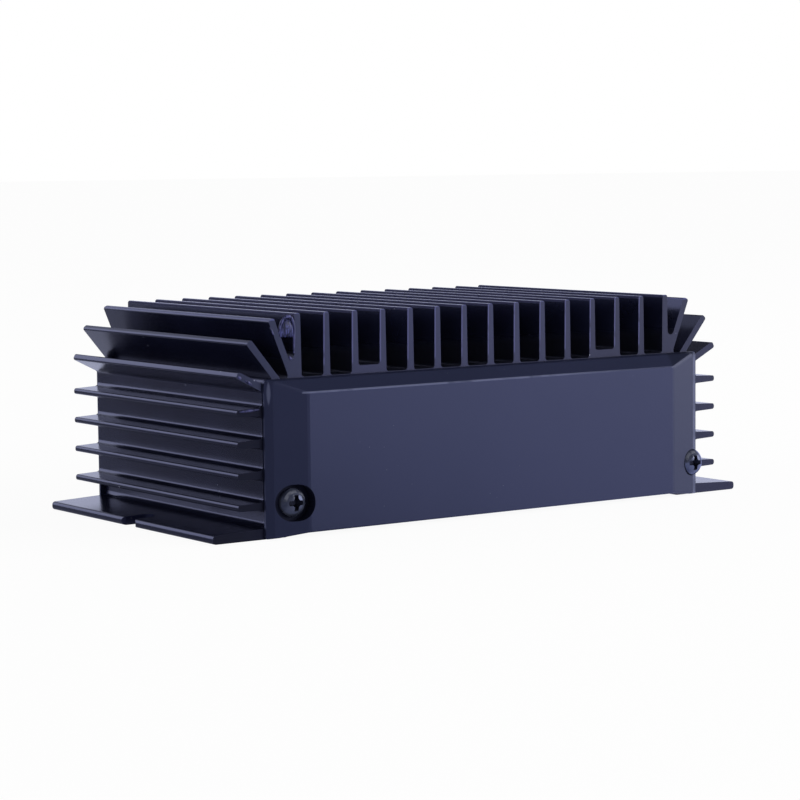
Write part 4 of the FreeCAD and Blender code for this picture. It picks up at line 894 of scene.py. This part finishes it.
def makeFloor():
    # pale paper; a mirror-like surface sees it bright on the right and dim on the left
    look = stageLook
    half = look["floorSize"]
    mesh = bpy.data.meshes.new("floor")
    corners = [(-half, -half, 0), (half, -half, 0), (half, half, 0), (-half, half, 0)]
    mesh.from_pydata(corners, [], [(0, 1, 2, 3)])
    floor = bpy.data.objects.new("floor", mesh)
    floor.location.z = -look["floorDrop"]
    bpy.context.scene.collection.objects.link(floor)
    f = newFinish("floorPaper")
    camera, glossy = f.rays("Is Camera Ray", "Is Glossy Ray")
    x, y = f.axes()[:2]
    right = (x + look["floorSlant"] * y).over(*look["brightFloor"])
    paper = f.node("ShaderNodeBsdfDiffuse", sockets={"Color": look["floor"]})
    dim, bright = (f.node("ShaderNodeEmission", sockets={"Color": scaled(look["mirrored"], look[name])})
                   for name in ("floorDim", "floorBright"))
    mixed = f.mixShaders(glossy, paper, f.mixShaders(right, dim, bright))
    glow = f.node("ShaderNodeEmission", sockets={"Color": grey(look["seen"])})
    seen = f.mixShaders(1 - look["shadowShare"], paper, glow)
    f.node("ShaderNodeOutputMaterial", sockets={"Surface": f.mixShaders(camera, mixed, seen)})
    mesh.materials.append(f.owner)


def makeRoom():
    # white seen straight; a mirror sees it bright behind the object, more so on the left, and dim elsewhere
    look = stageLook
    world = bpy.data.worlds.new("room")
    bpy.context.scene.world = world
    f = Finish(world)
    across, along, up = f.axes(0)
    camera, glossy, through = f.rays("Is Camera Ray", "Is Glossy Ray", "Is Transmission Ray")

    def sky(colour):
        return f.node("ShaderNodeBackground", sockets={"Color": colour})

    dim, bright, brighter = (sky(scaled(look["mirrored"], look[name]))
                             for name in ("skyDim", "skyBehind", "skyLeft"))
    behind = along.over(*look["behind"])
    left = behind * across.under(*look["left"]) * up.under(*look["leftUp"])
    mirror = f.mixShaders(behind * up.under(*look["behindUp"]), dim, bright)
    mirror = f.mixShaders(left, mirror, brighter)
    fill = f.mixShaders(up.over(*look["fillUp"]), sky(grey(look["fillLow"])), sky(grey(look["fillHigh"])))
    mixed = f.mixShaders(glossy.largest(through), fill, mirror)
    f.node("ShaderNodeOutputWorld", sockets={"Surface": f.mixShaders(camera, mixed, sky(grey(1.0)))})


lamps = {
    # name: azimuth (0 in front, 90 on the right), elevation, distance, width, height, radiance
    "keyBox": (50, 12, 1.1, 1.2, 0.5, 3.3),
}


def makeLamps():
    for name, (azimuth, elevation, distance, width, height, radiance) in lamps.items():
        data = bpy.data.lights.new(name, "AREA")
        data.shape = "RECTANGLE"
        data.size = width
        data.size_y = height
        data.energy = radiance * math.pi * width * height
        lamp = bpy.data.objects.new(name, data)
        a, e = math.radians(azimuth), math.radians(elevation)
        away = Vector((math.sin(a) * math.cos(e), -math.cos(a) * math.cos(e), math.sin(e)))
        lamp.location = away * distance
        lamp.rotation_mode = "QUATERNION"
        lamp.rotation_quaternion = away.to_track_quat("Z", "Y")
        bpy.context.scene.collection.objects.link(lamp)


makeFloor()
makeRoom()
makeLamps()
print("studio ready")


# where the camera stands, in metres, how it is turned, in degrees, and its lens and film, in millimetres
cameraPlace = {
    "spot": (-0.331702, -0.474051, 0.075509), "yaw": 35.009, "pitch": 5.241, "roll": -0.613,
    "lens": 116.14, "film": 36, "nearest": 0.01,
}


def makeCamera():
    yaw, pitch, roll = (math.radians(cameraPlace[key]) for key in ("yaw", "pitch", "roll"))
    ahead = Vector((math.sin(yaw) * math.cos(pitch), math.cos(yaw) * math.cos(pitch), -math.sin(pitch)))
    level = Vector((math.cos(yaw), -math.sin(yaw), 0))
    upright = level.cross(ahead)
    right = level * math.cos(roll) + upright * math.sin(roll)
    up = upright * math.cos(roll) - level * math.sin(roll)
    data = bpy.data.cameras.new("camera")
    data.lens = cameraPlace["lens"]
    data.sensor_width = cameraPlace["film"]
    data.clip_start = cameraPlace["nearest"]
    camera = bpy.data.objects.new("camera", data)
    turn = Matrix((right, up, -ahead)).transposed()
    camera.matrix_world = Matrix.Translation(cameraPlace["spot"]) @ turn.to_4x4()
    bpy.context.scene.collection.objects.link(camera)
    bpy.context.scene.camera = camera


makeCamera()
bpy.context.scene.view_settings.view_transform = "Standard"
print("camera set")
